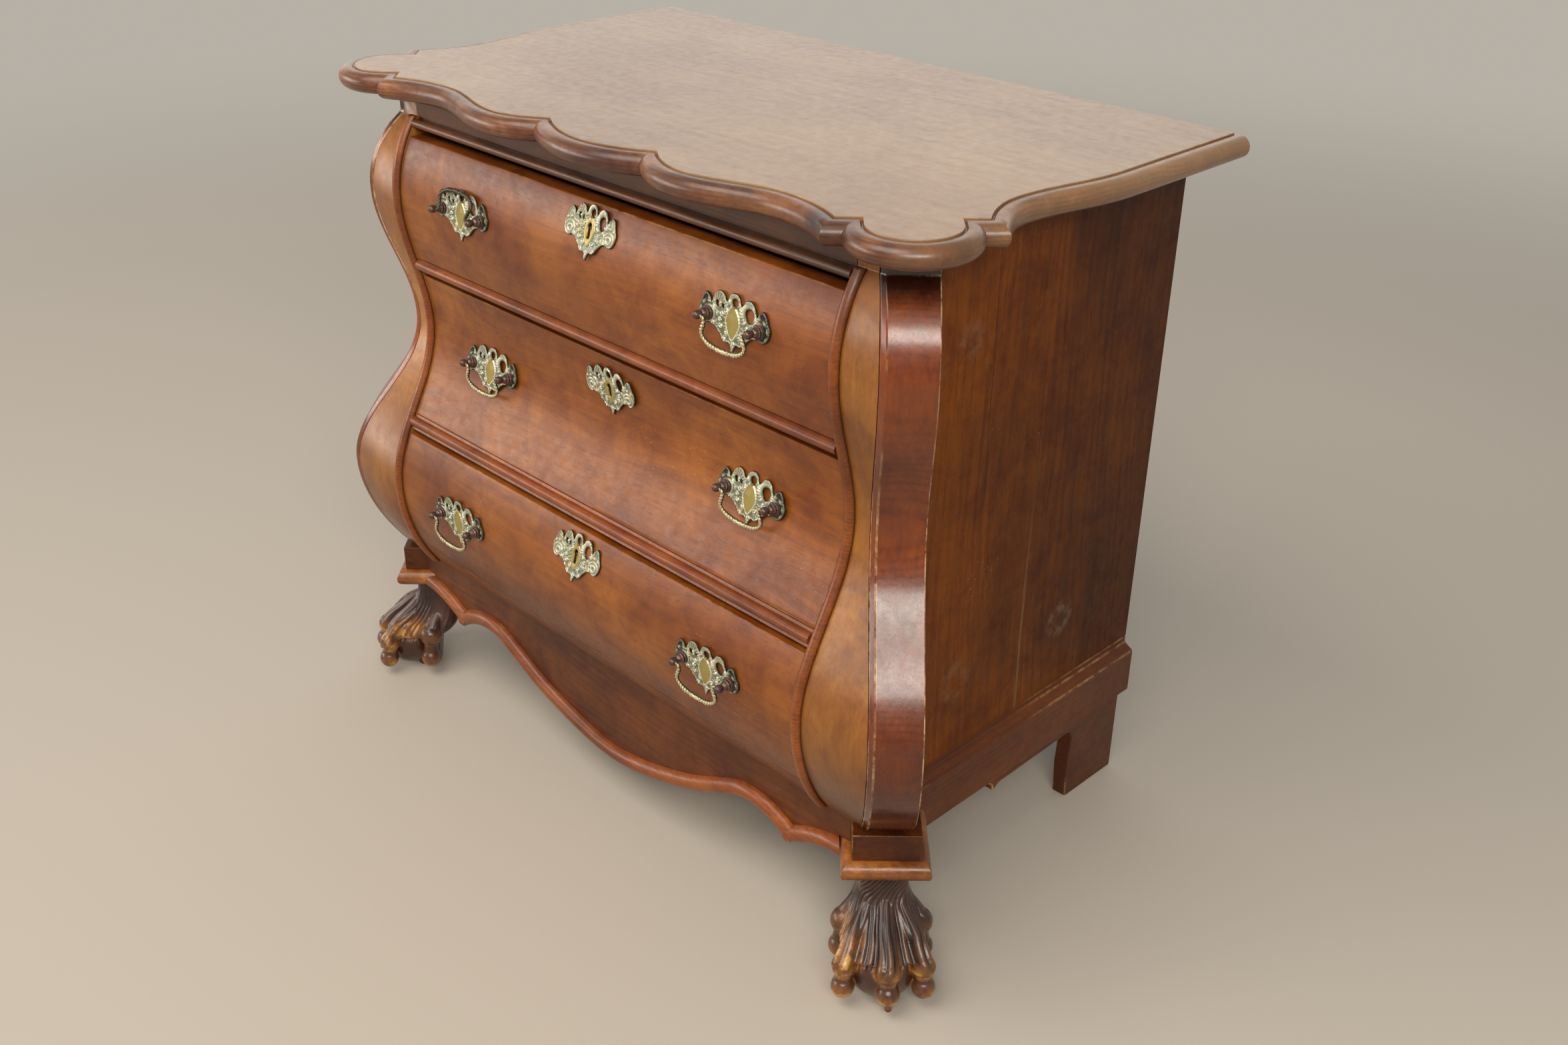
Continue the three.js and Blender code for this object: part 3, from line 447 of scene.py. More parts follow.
def build_age(given):
    """Wear on arrises, cloudiness, and patches of tone, broad and small."""
    vector = given["Vector"]
    patch = vector.cloud(given["Patch"], 3.0, 0.5, 0.4)
    rubbed = vector.cloud(60.0, 5.0, 0.75).spread(0.4, 0.6)
    stretch_worn = vector.cloud(7.0, 2.0).spread(0.4, 0.62)
    worn = mask(vector.tree, "arris") * rubbed * given["Wear"] * stretch_worn
    mottle = vector.cloud(17.0, 6.0, 0.68, 0.5)
    return {"Patches": patch.spread(0.34, 0.66), "Worn": worn, "Cloudy": vector.cloud(90.0, 3.0, 0.6),
            "Mottle": mottle.spread(0.42, 0.66)}


def build_scuffs(given):
    """Short scratches and pale flecks as one mask, small dark knots and plugs as another."""
    vector = given["Vector"]
    turned = flow(vector.tree, "ShaderNodeVectorRotate", {"Vector": vector, "Angle": 0.6})
    scratch = turned.stretched(0.12).cloud(420.0, 1.0).spread(0.68, 0.75)
    where = vector.cloud(7.0, 3.0).spread(0.56, 0.7)
    fleck = vector.cloud(300.0, 1.0).spread(0.75, 0.79)
    cell = flows(place(vector.tree, "ShaderNodeTexVoronoi", {"Vector": vector, "Scale": given["Knots"]}))
    chosen = flow(vector.tree, "ShaderNodeSeparateColor", {0: cell["Color"]}).spread(0.5, 0.54)
    return {"Scuffs": maths("MAXIMUM", scratch * where, fleck * where) * given["Amount"],
            "Knots": cell["Distance"].spread(0.024, 0.012) * chosen}


GRAIN = shared_group("wood_grain", {"Across": 0, "Rings": 150, "Figure": 9, "Fibre": 260}, build_grain)
AGE = shared_group("age", {"Patch": 5.0, "Wear": 0.5}, build_age)
SCUFFS = shared_group("scuffs", {"Amount": 0.5, "Knots": 3.6}, build_scuffs)


# Finishes

def painted_shade_bands(*bands):
    """Painted shade for a piece, in bands: from one height on, fully at the next, by a shade."""
    def marks(plain, axes, colour):
        for begins, full, shade in bands:
            colour = mixed(axes[2].spread(begins, full), colour, shade, "MULTIPLY")
        return colour
    return marks


def side_runs_paler_to_rear(plain, axes, colour):
    """The side runs of the moulding are paler towards the rear."""
    side = abs(axes[0]).spread(0.405, 0.418)
    return mixed(side * axes[1].spread(-0.16, 0.12, 0.15, 0.45), colour, "c09566")


# Each open joint has its y and its lowest and highest z, each ring mark its y, z, radius and strength
OPEN_JOINTS = [(0.069, 0.15, 0.62), (-0.016, 0.42, 0.77)]
RING_MARKS = [(0.1328, 0.277, 0.015, 0.6), (-0.0465, 0.277, 0.017, 0.25), (-0.0576, 0.66, 0.012, 0.25)]


def side_marks(plain, axes, colour):
    """Open joints and hazy ring marks on a side panel, which is darker to the rear."""
    wobble = flow(plain.tree, "ShaderNodeCombineXYZ", {0: axes[2]}).cloud(5.0, 4.0)
    for joint_y, low_z, high_z in OPEN_JOINTS:
        away = abs(wobble * 0.012 + axes[1] - joint_y)
        along = axes[2].spread(low_z, low_z + 0.05) * axes[2].spread(high_z, high_z - 0.1)
        pale_line = away.spread(0.0019, 0.0012) * axes[2].spread(0.5, 0.3) * along
        colour = mixed(pale_line * 0.7, colour, "c09062")
        colour = mixed(away.spread(0.0009, 0.0004) * along * 0.6, colour, "2a150a")
    haze = plain.cloud(70.0, 5.0, 0.7)
    for y, z, radius, strength in RING_MARKS:
        flat = flow(plain.tree, "ShaderNodeCombineXYZ", {0: axes[1] - y, 1: axes[2] - z})
        rim = abs(flat.length() - radius).spread(0.011, 0.001)
        colour = mixed(rim * haze.spread(0.42, 0.62, 0.0, strength), colour, "ac8e74")
    return mixed(axes[1].spread(-0.14, 0.28, 0.0, 0.8), colour, "8f8c80", "MULTIPLY")


def wood(name, pale, mid, dark, along="X", across="y", rings=150.0, figure=9.0, fibre=260.0, patch=5.0,
         gloss=0.36, sheen=0.25, worn="c08a55", wear=0.6, scuffs=0.0, contrast=0.5, ringed=0.4, blotchy=0.5,
         polish=0.3, glint=0.5, marks=None):
    """Stained and polished wood. The grain runs along one axis, and its rings lie across another."""
    finish, shader, plain = new_finish(name)
    axes = [Flow(socket) for socket in place(plain.tree, "ShaderNodeSeparateXYZ", {0: plain}).outputs]
    order = {"X": (0, 1, 2), "Z": (2, 1, 0), "Y": (1, 0, 2)}[along]
    vector = flow(plain.tree, "ShaderNodeCombineXYZ", {i: axes[k] for i, k in enumerate(order)})
    through = abs(axes[0]) - axes[1] if across == "out" else axes["xyz".index(across)]
    grain = use_group(GRAIN, vector, Across=through, Rings=rings, Figure=figure, Fibre=fibre)
    age = use_group(AGE, plain, Patch=patch, Wear=wear)
    colour = mixed(grain["Figure"], dark, mid)
    colour = mixed(age["Patches"] * 0.7, colour, pale)
    line = grain["Rings"] * ringed + (1.0 - grain["Fibre"]) * 0.6
    colour = mixed(line * contrast, colour, "8f6a50", "MULTIPLY")
    colour = mixed(grain["Pores"] * (0.6 * contrast), colour, "2a160c")
    colour = mixed(age["Mottle"] * blotchy, colour, "b58a72", "MULTIPLY")
    # Where the sunk mask is set, the wood is painted nearly black: painted shade in the keyhole and in the
    # seams beside the side beads.
    colour = mixed(mask(plain.tree, "sunk"), colour, "070504")
    if marks:
        colour = marks(plain, axes, colour)
    colour = mixed(age["Worn"], colour, worn)
    rough = age["Cloudy"].spread(0.3, 0.7, gloss - 0.07, gloss + 0.09)
    if scuffs:
        spoilt = use_group(SCUFFS, plain, Amount=scuffs)
        colour = mixed(spoilt["Knots"] * 0.7, colour, "351a0c")
        colour = mixed(spoilt["Scuffs"], colour, "cdb49c")
        rough = spoilt["Scuffs"] * 0.2 + rough
    height = age["Cloudy"] * 0.5 + (grain["Fibre"] * 0.4 - grain["Pores"] * 0.5)
    fill(shader, {
        "Base Color": colour, "Roughness": rough, "Normal": height.raised(0.0002, 0.6),
        "Coat Weight": sheen, "Coat Roughness": polish, "Specular IOR Level": glint,
    })
    return finish


TOP_WOOD = wood("top_wood", "b8946c", "a17a50", "8a6240", rings=40.0, figure=5.0, fibre=150.0, patch=3.5,
                sheen=0.6, contrast=0.35, worn="c7a27c", scuffs=0.3, blotchy=0.22)
MOULDING_WOOD = wood("moulding_wood", "b0703f", "7e4c2a", "38201a", across="z", rings=260.0, figure=18.0,
                     patch=14.0, gloss=0.34, sheen=0.5, contrast=0.9, wear=1.2, worn="d8aa74", ringed=0.7,
                     blotchy=1.0, marks=side_runs_paler_to_rear)
# The frieze rail is a darker version of the rail wood: painted shade under the top's overhang.
FRIEZE_SHADED_WOOD = wood("frieze_wood_painted_shade", "8a5630", "6b3f20", "45260f", across="z", rings=240.0, figure=14.0,
                   gloss=0.4, contrast=0.6)
RAIL_WOOD = wood("rail_wood", "c06a28", "9a501a", "602e0e", across="z", rings=240.0, figure=14.0,
                 sheen=0.3, contrast=0.7, wear=1.0, blotchy=0.7, glint=0.4)
# The drawer fronts and the bottom rail get painted shade towards the floor, and painted shade under the top's
# overhang.
DRAWER_WOOD = wood("drawer_wood", "bf742a", "a05614", "793809", rings=110.0, figure=7.0, fibre=170.0,
                   patch=4.5, gloss=0.4, scuffs=0.45, wear=0.7, blotchy=0.75, polish=0.36, glint=0.4,
                   marks=painted_shade_bands((0.29, 0.235, "cdbfae"), (0.702, 0.722, "d6ccc2")))
# The stiles get painted shade towards the floor.
STILE_WOOD = wood("stile_wood", "cc8836", "ac691d", "83490c", along="Z", rings=100.0, fibre=170.0, sheen=0.4,
                  wear=0.9, blotchy=0.6, glint=0.4, marks=painted_shade_bands((0.37, 0.24, "bdad9c")))
# The canted boards get painted shade towards the floor, and a painted shadow under the top's ears.
CORNER_WOOD = wood("corner_wood", "b8570c", "954405", "5c2305", along="Z", across="out", rings=230.0,
                   figure=12.0, gloss=0.26, sheen=0.55, contrast=0.6, wear=1.2, worn="dcb688", ringed=0.5,
                   blotchy=0.7, polish=0.16, glint=0.4,
                   marks=painted_shade_bands((0.37, 0.28, "cdc0b0"), (0.728, 0.744, "6c5c56")))
SIDE_WOOD = wood("side_wood", "b76410", "954e04", "693403", along="Z", rings=70.0, figure=8.0, fibre=150.0,
                 patch=3.4, gloss=0.5, sheen=0.0, contrast=0.8, scuffs=0.5, wear=0.8, ringed=0.3, blotchy=0.7,
                 glint=0.25, marks=side_marks)
BASE_WOOD = wood("base_wood", "854513", "6b3509", "482203", along="Y", across="z", figure=8.0, gloss=0.42,
                 sheen=0.1, contrast=0.7, scuffs=0.4, wear=1.2, worn="c9a070", glint=0.35)
APRON_WOOD = wood("apron_wood", "834616", "693409", "472104", across="z", rings=90.0, fibre=180.0, gloss=0.42,
                  sheen=0.1, contrast=0.7, blotchy=0.8, glint=0.35)
CAP_WOOD = wood("cap_wood", "e09444", "b86c26", "6e3a14", across="z", rings=200.0, figure=18.0, patch=22.0,
                gloss=0.32, sheen=0.4, contrast=0.7, wear=1.0, blotchy=0.7)
INNER_WOOD = wood("inner_wood", "c9a878", "b8945f", "96724a", figure=8.0, gloss=0.6, sheen=0.0, wear=0.2)
BACK_WOOD = wood("back_wood", "8d6a48", "7a5838", "5d4028", along="Z", figure=6.0, gloss=0.6, sheen=0.0,
                 contrast=0.6, wear=0.5)


def carved_finish():
    """Dark polished carving, rubbed to gold on what stands out."""
    finish, shader, plain = new_finish("carved_wood")
    age = use_group(AGE, plain, Patch=30.0, Wear=0.0)
    gold = mask(plain.tree, "rub") * plain.cloud(70.0, 5.0, 0.7).spread(0.3, 0.56)
    colour = mixed(age["Patches"], "331a14", "56301f")
    colour = mixed(mask(plain.tree, "relief"), "170b07", colour)
    colour = mixed(gold, colour, "b0702f")
    fill(shader, {
        "Base Color": mixed(gold.spread(0.7, 1.0), colour, "d8a55c"),
        "Roughness": age["Cloudy"].spread(0.3, 0.7, 0.22, 0.4),
        "Normal": plain.cloud(260.0, 4.0, 0.6).raised(0.0004, 0.5),
        "Coat Weight": 0.4, "Coat Roughness": 0.3,
    })
    return finish


def cast_metal(name, low, high, bright, green, metal, gloss=0.34):
    """Aged cast brass: dark in its hollows, rubbed bright where it stands out."""
    finish, shader, plain = new_finish(name)
    relief, rub, polished = (mask(plain.tree, label) for label in ("relief", "rub", "polished"))
    fine = plain.cloud(900.0, 3.0, 0.6)
    level = relief + fine.spread(0.3, 0.7, -0.14, 0.14)
    colour = mixed(plain.cloud(110.0, 3.0).spread(0.42, 0.6), high, green)
    colour = mixed(level.spread(0.0, 0.42), low, colour)
    colour = mixed((level + rub).spread(0.5, 1.15), colour, bright)
    fill(shader, {
        "Base Color": mixed(polished, colour, "b29f5c"),
        "Roughness": fine.spread(0.3, 0.7, gloss - 0.08, gloss + 0.14),
        "Normal": (fine * (1.0 - polished)).raised(0.0002, 0.5),
        "Metallic": metal,
    })
    return finish


CARVED_WOOD = carved_finish()
PLATE_BRASS = cast_metal("plate_brass", "2a251a", "989071", "dedac0", "84917f", 0.5)
POST_BRONZE = cast_metal("post_bronze", "2a1e18", "6a5044", "a88f7d", "5a4a48", 0.6, 0.26)
BAIL_BRASS = cast_metal("bail_brass", "382f24", "7a6a4c", "d9cda4", "77745c", 0.65, 0.3)


# Top: the field, and the round moulding mitred round its ears

EAR_OUT, EAR_RADIUS = 590, 42
EAR_FOOT, CUSP_ACROSS = 573, 65.5
EDGE_REACH, EDGE_HEIGHT, EDGE_RADIUS = 7.5, 788, 11

# Where the curves of the field's line meet, as x and depth
SIDE_SWELL, SIDE_WAIST = (420, 190), (402, 322)
FRONT_WAIST, FRONT_SWELL, FRONT_NOTCH = (257, 460), (145, 484), (82, 458.5)
LOBE_DEPTH = 485.5


def field_stretches():
    """The right half of the groove line, in stretches of x and depth, from the rear to the cusp."""
    side_tip, front_tip = corner_place(EAR_FOOT, CUSP_ACROSS), corner_place(EAR_FOOT, -CUSP_ACROSS)
    side = [(SIDE_SWELL[0], 0)]
    side += [between(SIDE_SWELL, SIDE_WAIST, ease(s), s) for s in steps(0, 1, 20)]
    side += [between(SIDE_WAIST, side_tip, s * s, s) for s in steps(0, 1, 18)[1:]]
    ear = [corner_place(EAR_OUT + EAR_RADIUS * math.cos(a), -EAR_RADIUS * math.sin(a)) for a in half_turn(36)]
    ear = [corner_place(EAR_FOOT, EAR_RADIUS), *ear, corner_place(EAR_FOOT, -EAR_RADIUS)]
    front = [between(FRONT_WAIST, front_tip, s, s * s) for s in steps(1, 0, 18)]
    front += [between(FRONT_WAIST, FRONT_SWELL, s, ease(s)) for s in steps(0, 1, 20)[1:]]
    front += [between(FRONT_SWELL, FRONT_NOTCH, s, s * s) for s in steps(0, 1, 16)[1:]]
    return [side, [side_tip, ear[0]], ear, [ear[-1], front_tip], front]


def groove_line():
    right = field_stretches()
    lobe = [between((0, LOBE_DEPTH), FRONT_NOTCH, s, s * s) for s in steps(1, -1, 32)]
    left = [[(-x, d) for x, d in reversed(stretch)] for stretch in reversed(right)]
    return [[Vector((x, REAR_Y - d)) for x, d in stretch] for stretch in right + [lobe] + left]


def crossing(a, b, c, d):
    """How far along a to b, and along c to d, the two lines cross."""
    ab, cd, ac = b - a, d - c, c - a
    turn = ab.x * cd.y - ab.y * cd.x
    if abs(turn) < 1e-12:
        return None
    return (ac.x * cd.y - ac.y * cd.x) / turn, (ac.x * ab.y - ac.y * ab.x) / turn


def meeting(before, after):
    """Where two stretches cross, or where their end tangents do."""
    for i in range(len(before) - 2, -1, -1):
        for j in range(len(after) - 1):
            hit = crossing(before[i], before[i + 1], after[j], after[j + 1])
            if hit and 0 <= hit[0] <= 1 and 0 <= hit[1] <= 1:
                return before[i].lerp(before[i + 1], hit[0]), i + 1, j
    hit = crossing(before[-2], before[-1], after[1], after[0])
    return before[-2] + (before[-1] - before[-2]) * hit[0], len(before) - 1, 0


def offset_line(stretches, distance):
    """Each stretch moved outwards, its neighbours trimmed or run on to where they meet."""
    moved = []
    for line in stretches:
        row = []
        for i, p in enumerate(line):
            ahead, behind = neighbours(line, i)
            along = (ahead - behind).normalized()
            row.append(Vector((p.x - along.y * distance, p.y + along.x * distance)))
        moved.append(row)
    for before, after in zip(moved, moved[1:]):
        point, leave, enter = meeting(before, after)
        before[leave:] = [point.copy() for _ in before[leave:]]
        after[:enter + 1] = [point.copy() for _ in after[:enter + 1]]
    return [p for row in moved for p in row]


def top_field():
    line = [p for row in groove_line() for p in row]
    rings = [[Vector((p.x, p.y, z)) * MM for p in line] for z in (TOP_UNDER, HEIGHT)]
    return rounded(loft("new_top_field", rings), 0.9, 2, 50)


def top_moulding():
    """A half-round edge with a quirk beside the field."""
    profile = [(SEAT, TOP_UNDER)]
    profile += [(EDGE_REACH + EDGE_RADIUS * math.cos(a), EDGE_HEIGHT + EDGE_RADIUS * math.sin(a))
                for a in half_turn(20)]
    profile += [(2.9, 798.6), (1.9, 797.2), (1.2, 796.6), (SEAT, 796.6)]
    lines = [offset_line(groove_line(), reach) for reach, _ in profile]
    rings = [[Vector((line[i].x, line[i].y, z)) * MM for line, (_, z) in zip(lines, profile)]
             for i in range(len(lines[0]))]
    return smoothed(loft("new_top_moulding", rings), 38)


# Carcase

KEY_STRIP, KEY_REACH = 9, 14
RAIL_DEEP = 46
FRIEZE_BOTTOM, FRIEZE_BEAD_TOP, FRIEZE_DEEP, FRIEZE_QUIRK = 740, 749.5, 23, 3
FRIEZE_BEAD, FRIEZE_BEAD_RADIUS = 744.9, 4.6
BOTTOM_RAIL_TOP, BOTTOM_RAIL_DEEP = 221, 68


def along_front(name, outline, half=OPENING_HALF - SEAT, cuts=()):
    """A length of wood across the front, its section drawn as depth and height."""
    return loft(name, [[spot(x, d, z) for d, z in outline] for x in (-half, *cuts, half)])


def bead_outline(middle, radius):
    """A bead on the serpentine front, from under it to over it, as depth and height."""
    tilt = math.atan(front_slope(middle))
    points = []
    for angle in half_turn(18):
        up, out = radius * math.sin(angle), radius * math.cos(angle)
        points.append((front_depth(middle) + out * math.cos(tilt) + up * math.sin(tilt),
                       middle + up * math.cos(tilt) - out * math.sin(tilt)))
    return points


def drawer_rail(name, top):
    under, back = top - RAIL_THICK, front_depth(top - RAIL_THICK / 2) - RAIL_DEEP
    outline = [(back, under), (front_depth(under), under)]
    outline += bead_outline(top - RAIL_THICK / 2, BEAD_RADIUS) + [(front_depth(top), top), (back, top)]
    return smoothed(along_front(name, outline), 40)


def frieze_rail():
    depth = front_depth(FRIEZE_UNDER)
    quirk, back = depth - FRIEZE_QUIRK, depth - FRIEZE_DEEP
    outline = [(back, FRIEZE_BOTTOM), (front_depth(FRIEZE_BOTTOM) - FRIEZE_QUIRK, FRIEZE_BOTTOM)]
    outline += bead_outline(FRIEZE_BEAD, FRIEZE_BEAD_RADIUS)
    outline += [(quirk, FRIEZE_BEAD_TOP), (quirk, FRIEZE_UNDER), (depth, FRIEZE_UNDER)]
    outline += [(depth, TOP_UNDER), (back, TOP_UNDER)]
    return smoothed(along_front("new_frieze_rail", outline), 40)


def bottom_rail():
    back = front_depth(BOTTOM_RAIL_TOP) - BOTTOM_RAIL_DEEP
    face = [(front_depth(z), z) for z in heights(BASE_TOP, BOTTOM_RAIL_TOP, 3)]
    outline = [(back, BASE_TOP), *face, (back, BOTTOM_RAIL_TOP)]
    return rounded(along_front("new_bottom_rail", outline), 0.8)


def keyhole_outline(grow=0.0):
    """A round eye over a slit, in x and height."""
    eye = [((2.6 + grow) * math.sin(a), 4.2 + (3.3 + grow) * math.cos(a)) for a in steps(-2.5, 2.5, 14)]
    return eye + [(1.9 + grow, -7.4 - grow), (-1.9 - grow, -7.4 - grow)]


def drawer_front(name, under, over, key_height):
    """A drawer front with its keyhole, and with extra columns beside it that keep the face even."""
    levels = heights(under, over, 4)
    outline = [(front_depth(z), z) for z in levels]
    outline += [(front_depth(z) - FRONT_THICK, z) for z in reversed(levels)]
    made = rounded(along_front(name, outline, DRAWER_HALF, (-KEY_STRIP, KEY_STRIP)), 1.1)
    keyhole = loft("keyhole", [[out_from_front(x, key_height, out) + Vector((0, 0, up * MM))
                                for x, up in keyhole_outline()] for out in (-14, 6)])
    cutter = made.modifiers.new("keyhole", "BOOLEAN")
    cutter.operation, cutter.solver, cutter.object = "DIFFERENCE", "EXACT", keyhole
    settle(made)
    bpy.data.objects.remove(keyhole)
    # The keyhole's walls are masked for painted shade, nearly black.
    co, _ = points_of(made.data)
    sunk = co[:, 1] - spot(0, front_depth(key_height), 0).y
    near = (np.abs(co[:, 0]) < KEY_STRIP * MM * 0.9) & (np.abs(co[:, 2] - key_height * MM) < KEY_REACH * MM)
    set_mask(made, "sunk", fade(sunk, -0.001, 0.001) * near)
    return smoothed(made)


def corner_post(name, ring_at):
    """A post whose section follows the depth of the front."""
    rings = []
    for z in heights(BASE_TOP, FRIEZE_UNDER) + [TOP_UNDER]:
        rings.append([spot(x, d, z) for x, d in ring_at(front_depth(min(z, FRIEZE_UNDER)))])
    return loft(name, rings)


def board_ring(depth):
    """The slab that stands at 45 degrees, with its lip in front."""
    lip = depth - CANT_LOW + CANT_LIP
    return [(depth - CANT_LOW, depth), (lip, depth), (lip + CANT_REACH - 4, depth - CANT_REACH + 4),
            (SIDE_OUTER, BOARD_OUTER_DEPTH), (OPENING_HALF, BOARD_INNER_DEPTH)]


def stile_ring(depth):
    """The three-cornered filling between the opening and the slab."""
    return [(OPENING_HALF, depth), (depth - CANT_LOW - 0.42, depth), (OPENING_HALF, STILE_BACK_DEPTH)]


def side_bead():
    """A half-round bead bent down the front of the stile, with painted shade in the seams beside it."""
    rings = []
    for z in heights(BASE_TOP, FRIEZE_UNDER):
        tilt = math.atan(front_slope(z))
        lean = 0 if z in (BASE_TOP, FRIEZE_UNDER) else tilt
        ring = []
        for angle in steps(0, math.pi, 12):
            out = SEAT + BEAD_RADIUS * math.sin(angle)
            depth = front_depth(z) + out * math.cos(lean) / math.cos(tilt - lean)
            x = OPENING_HALF + BEAD_RADIUS * (1 + math.cos(angle))
            ring.append(spot(x, depth, z - out * math.sin(lean)))
        rings.append(ring)
    bead = smoothed(loft("new_side_bead_right", rings), 40)
    set_mask(bead, "sunk", ([0.9, 0.3] + [0.0] * 9 + [0.3, 0.9]) * len(rings))
    return bead


# Base

APRON_DEPTH, APRON_THICK = 480, 22
APRON_BEAD_RADIUS = 9.5
APRON_CUSP = (295, 110)
LOBE_RUN, LOBE_RISE = 81.1, 27
BLOCK_RUN, CAP_RUN = -103.92, -118.77
CAP_TOP, CAP_MIDDLE, CAP_RADIUS = 158.3, 147.5, 10.5
CAP_HALF, CAP_FRONT, CAP_BACK = 35, 634.3, 550.3
APRON_DROP = [(0, 59), (33, 62), (73, 70.4), (113, 81.9), (150, 95.5), (188, 114), (216, 127), (235, 130.5)]


def apron_edge():
    """The right half of the apron's lower edge: the middle drop, and the lobe at the corner."""
    drop = [tuple(p) for p in curve_through(APRON_DROP, 8)]
    drop += [between(APRON_DROP[-1], APRON_CUSP, s, s * s) for s in steps(0, 1, 12)[1:]]
    start, low = APRON_CUSP
    end = (APRON_DEPTH + CAP_RUN - start) / LOBE_RUN
    lobe = [(start + LOBE_RUN * s, low + LOBE_RISE - LOBE_RISE * (1 - s) ** 2) for s in steps(0, end, 14)]
    return drop, lobe


def apron_board():
    drop, lobe = apron_edge()
    rings = []
    for depth in (APRON_DEPTH - APRON_THICK, APRON_DEPTH):
        half = drop + lobe[1:-1] + [(lobe[-1][0] + depth - APRON_DEPTH, lobe[-1][1])]
        half += [(depth + CAP_RUN, CAP_TOP), (depth + BLOCK_RUN, CAP_TOP), (depth + BLOCK_RUN, BASE_TOP)]
        half = [(min(x, depth + CAP_RUN) if z < CAP_TOP else x, z) for x, z in half]
        outline = half + [(-x, z) for x, z in reversed(half)][:-1]
        rings.append([spot(x, depth, z) for x, z in outline])
    return rounded(loft("new_apron", rings), 0.6, 2, 40)


def apron_bead(name, line, trimmed=False):
    """A half-round bead on the apron's face along its edge, its end trimmed to the corner moulding."""
    rings = []
    for i, (x, z) in enumerate(line):
        ahead, behind = neighbours(line, i)
        along = Vector((ahead[0] - behind[0], ahead[1] - behind[1])).normalized()
        ring = []
        for angle in steps(0, math.pi, 12):
            lift = APRON_BEAD_RADIUS + APRON_BEAD_RADIUS * math.cos(angle)
            depth = APRON_DEPTH + 0.05 + APRON_BEAD_RADIUS * math.sin(angle)
            at_cap = trimmed and i == len(line) - 1
            ring.append(spot(depth + CAP_RUN if at_cap else x - along.y * lift, depth, z + along.x * lift))
        rings.append(ring)
    return smoothed(loft(name, rings), 40)


def corner_cap():
    """The half-round moulding over the foot, returned along both sides of the block."""
    rings = []
    for angle in half_turn(22):
        reach, z = CAP_RADIUS * math.cos(angle), CAP_MIDDLE + CAP_RADIUS * math.sin(angle)
        half, front = CAP_HALF + reach, CAP_FRONT + reach
        ring = [(CAP_BACK, -half), (front, -half), (front, half), (CAP_BACK, half)]
        rings.append([spot(*corner_place(out, across), z) for out, across in ring])
    return smoothed(loft("new_corner_cap_right", rings), 50)


# Claw foot, in its own frame: out towards the corner, across, and up, in millimetres

# Each level has its height, how far it reaches in front and behind, and its half width
LEG_LEVELS = [
    (136.4, -15, -68, 30.8), (128, -16.5, -68.5, 28.2), (119, -17, -68.6, 26.6), (105, -13.5, -69, 26),
    (92, -4, -70, 29.5), (80, 8, -69.5, 35), (70, 18, -67.5, 40), (62, 26, -62, 43.5), (57, 30, -54, 44),
    (54, 25, -48, 39), (49, 8, -44, 28), (30, 0, -40, 24), (0, -6, -36, 20),
]
LEG_AXIS = [(0, -12), (40, -12), (62, -20), (80, -34), (105, -42), (136, -41)]
FRONT_TOE = [
    (-18, 1, 99, 8), (-2, 1.5, 86, 9), (14, 2.5, 71, 10.5), (26, 3.2, 58, 11.8), (31.6, 3.5, 50.6, 12.4),
]
SIDE_TOE = [(-22, 13, 99, 8), (-12, 20, 88, 8.5), (4, 31, 73, 10), (16, 38, 58, 11.5), (20, 40, 50, 12.4)]
REAR_TOE = [(-48, 14, 96, 8), (-44, 23, 84, 9), (-38, 32, 72, 11), (-34, 38.5, 60, 14)]
NAILS = [(37.8, 4.2, 26.6), (23.8, -41, 25), (23.8, 41, 25), (-32, -42.5, 28), (-32, 42.5, 28)]
NAIL_RADIUS = 12.4
KNUCKLE_GOLD, NAIL_GOLD = (0.95, 1, 0.95, 0.7, 0.5), (1, 1, 1, 0.8, 0.5)
TOE_TURNS = [(0, 0.9), (50, 0.9), (73, 0.82), (99, 0.85), (136, 0.85)]
FLUTES = 4.4
FOOT_OUT = 644.8


def across_the_foot(path):
    """The same path on the other side of the foot."""
    return [(out, -across, up, radius) for out, across, up, radius in path]


TOES = [FRONT_TOE, across_the_foot(SIDE_TOE), SIDE_TOE, across_the_foot(REAR_TOE), REAR_TOE]


def tube(path, count=18):
    """A closed skin round a path of points in three sizes and a radius."""
    run = curve_through(path, 6)
    rings = []
    for i, row in enumerate(run):
        ahead, behind = neighbours(run, i)
        turn = Vector((0, 0, 1)).rotation_difference(Vector(ahead[:3] - behind[:3]).normalized())
        rings.append([Vector(row[:3]) + turn @ Vector((math.cos(a), math.sin(a), 0)) * row[3]
                      for a in around(count)])
    return loft("tube", rings)


def knob(centre, radii, rows):
    """An egg of three radii."""
    made = bpy.data.meshes.new("knob")
    work = bmesh.new()
    bmesh.ops.create_uvsphere(work, u_segments=rows, v_segments=rows // 2 + 2, radius=1)
    work.transform(Matrix.Translation(centre) @ Matrix.Diagonal((*radii, 1)))
    work.to_mesh(made)
    work.free()
    return shown("knob", made)


def leg_skin():
    rings = []
    for up, front, back, half in curve_through(LEG_LEVELS, 3):
        middle, reach = (front + back) / 2, (front - back) / 2
        ring = []
        for angle in around(40):
            c, s = math.cos(angle), math.sin(angle)
            swell = (abs(c) ** 3.2 + abs(s) ** 3.2) ** (-1 / 3.2)
            ring.append(Vector((middle + reach * c * swell, half * s * swell, up)))
        rings.append(ring)
    return loft("leg", rings)


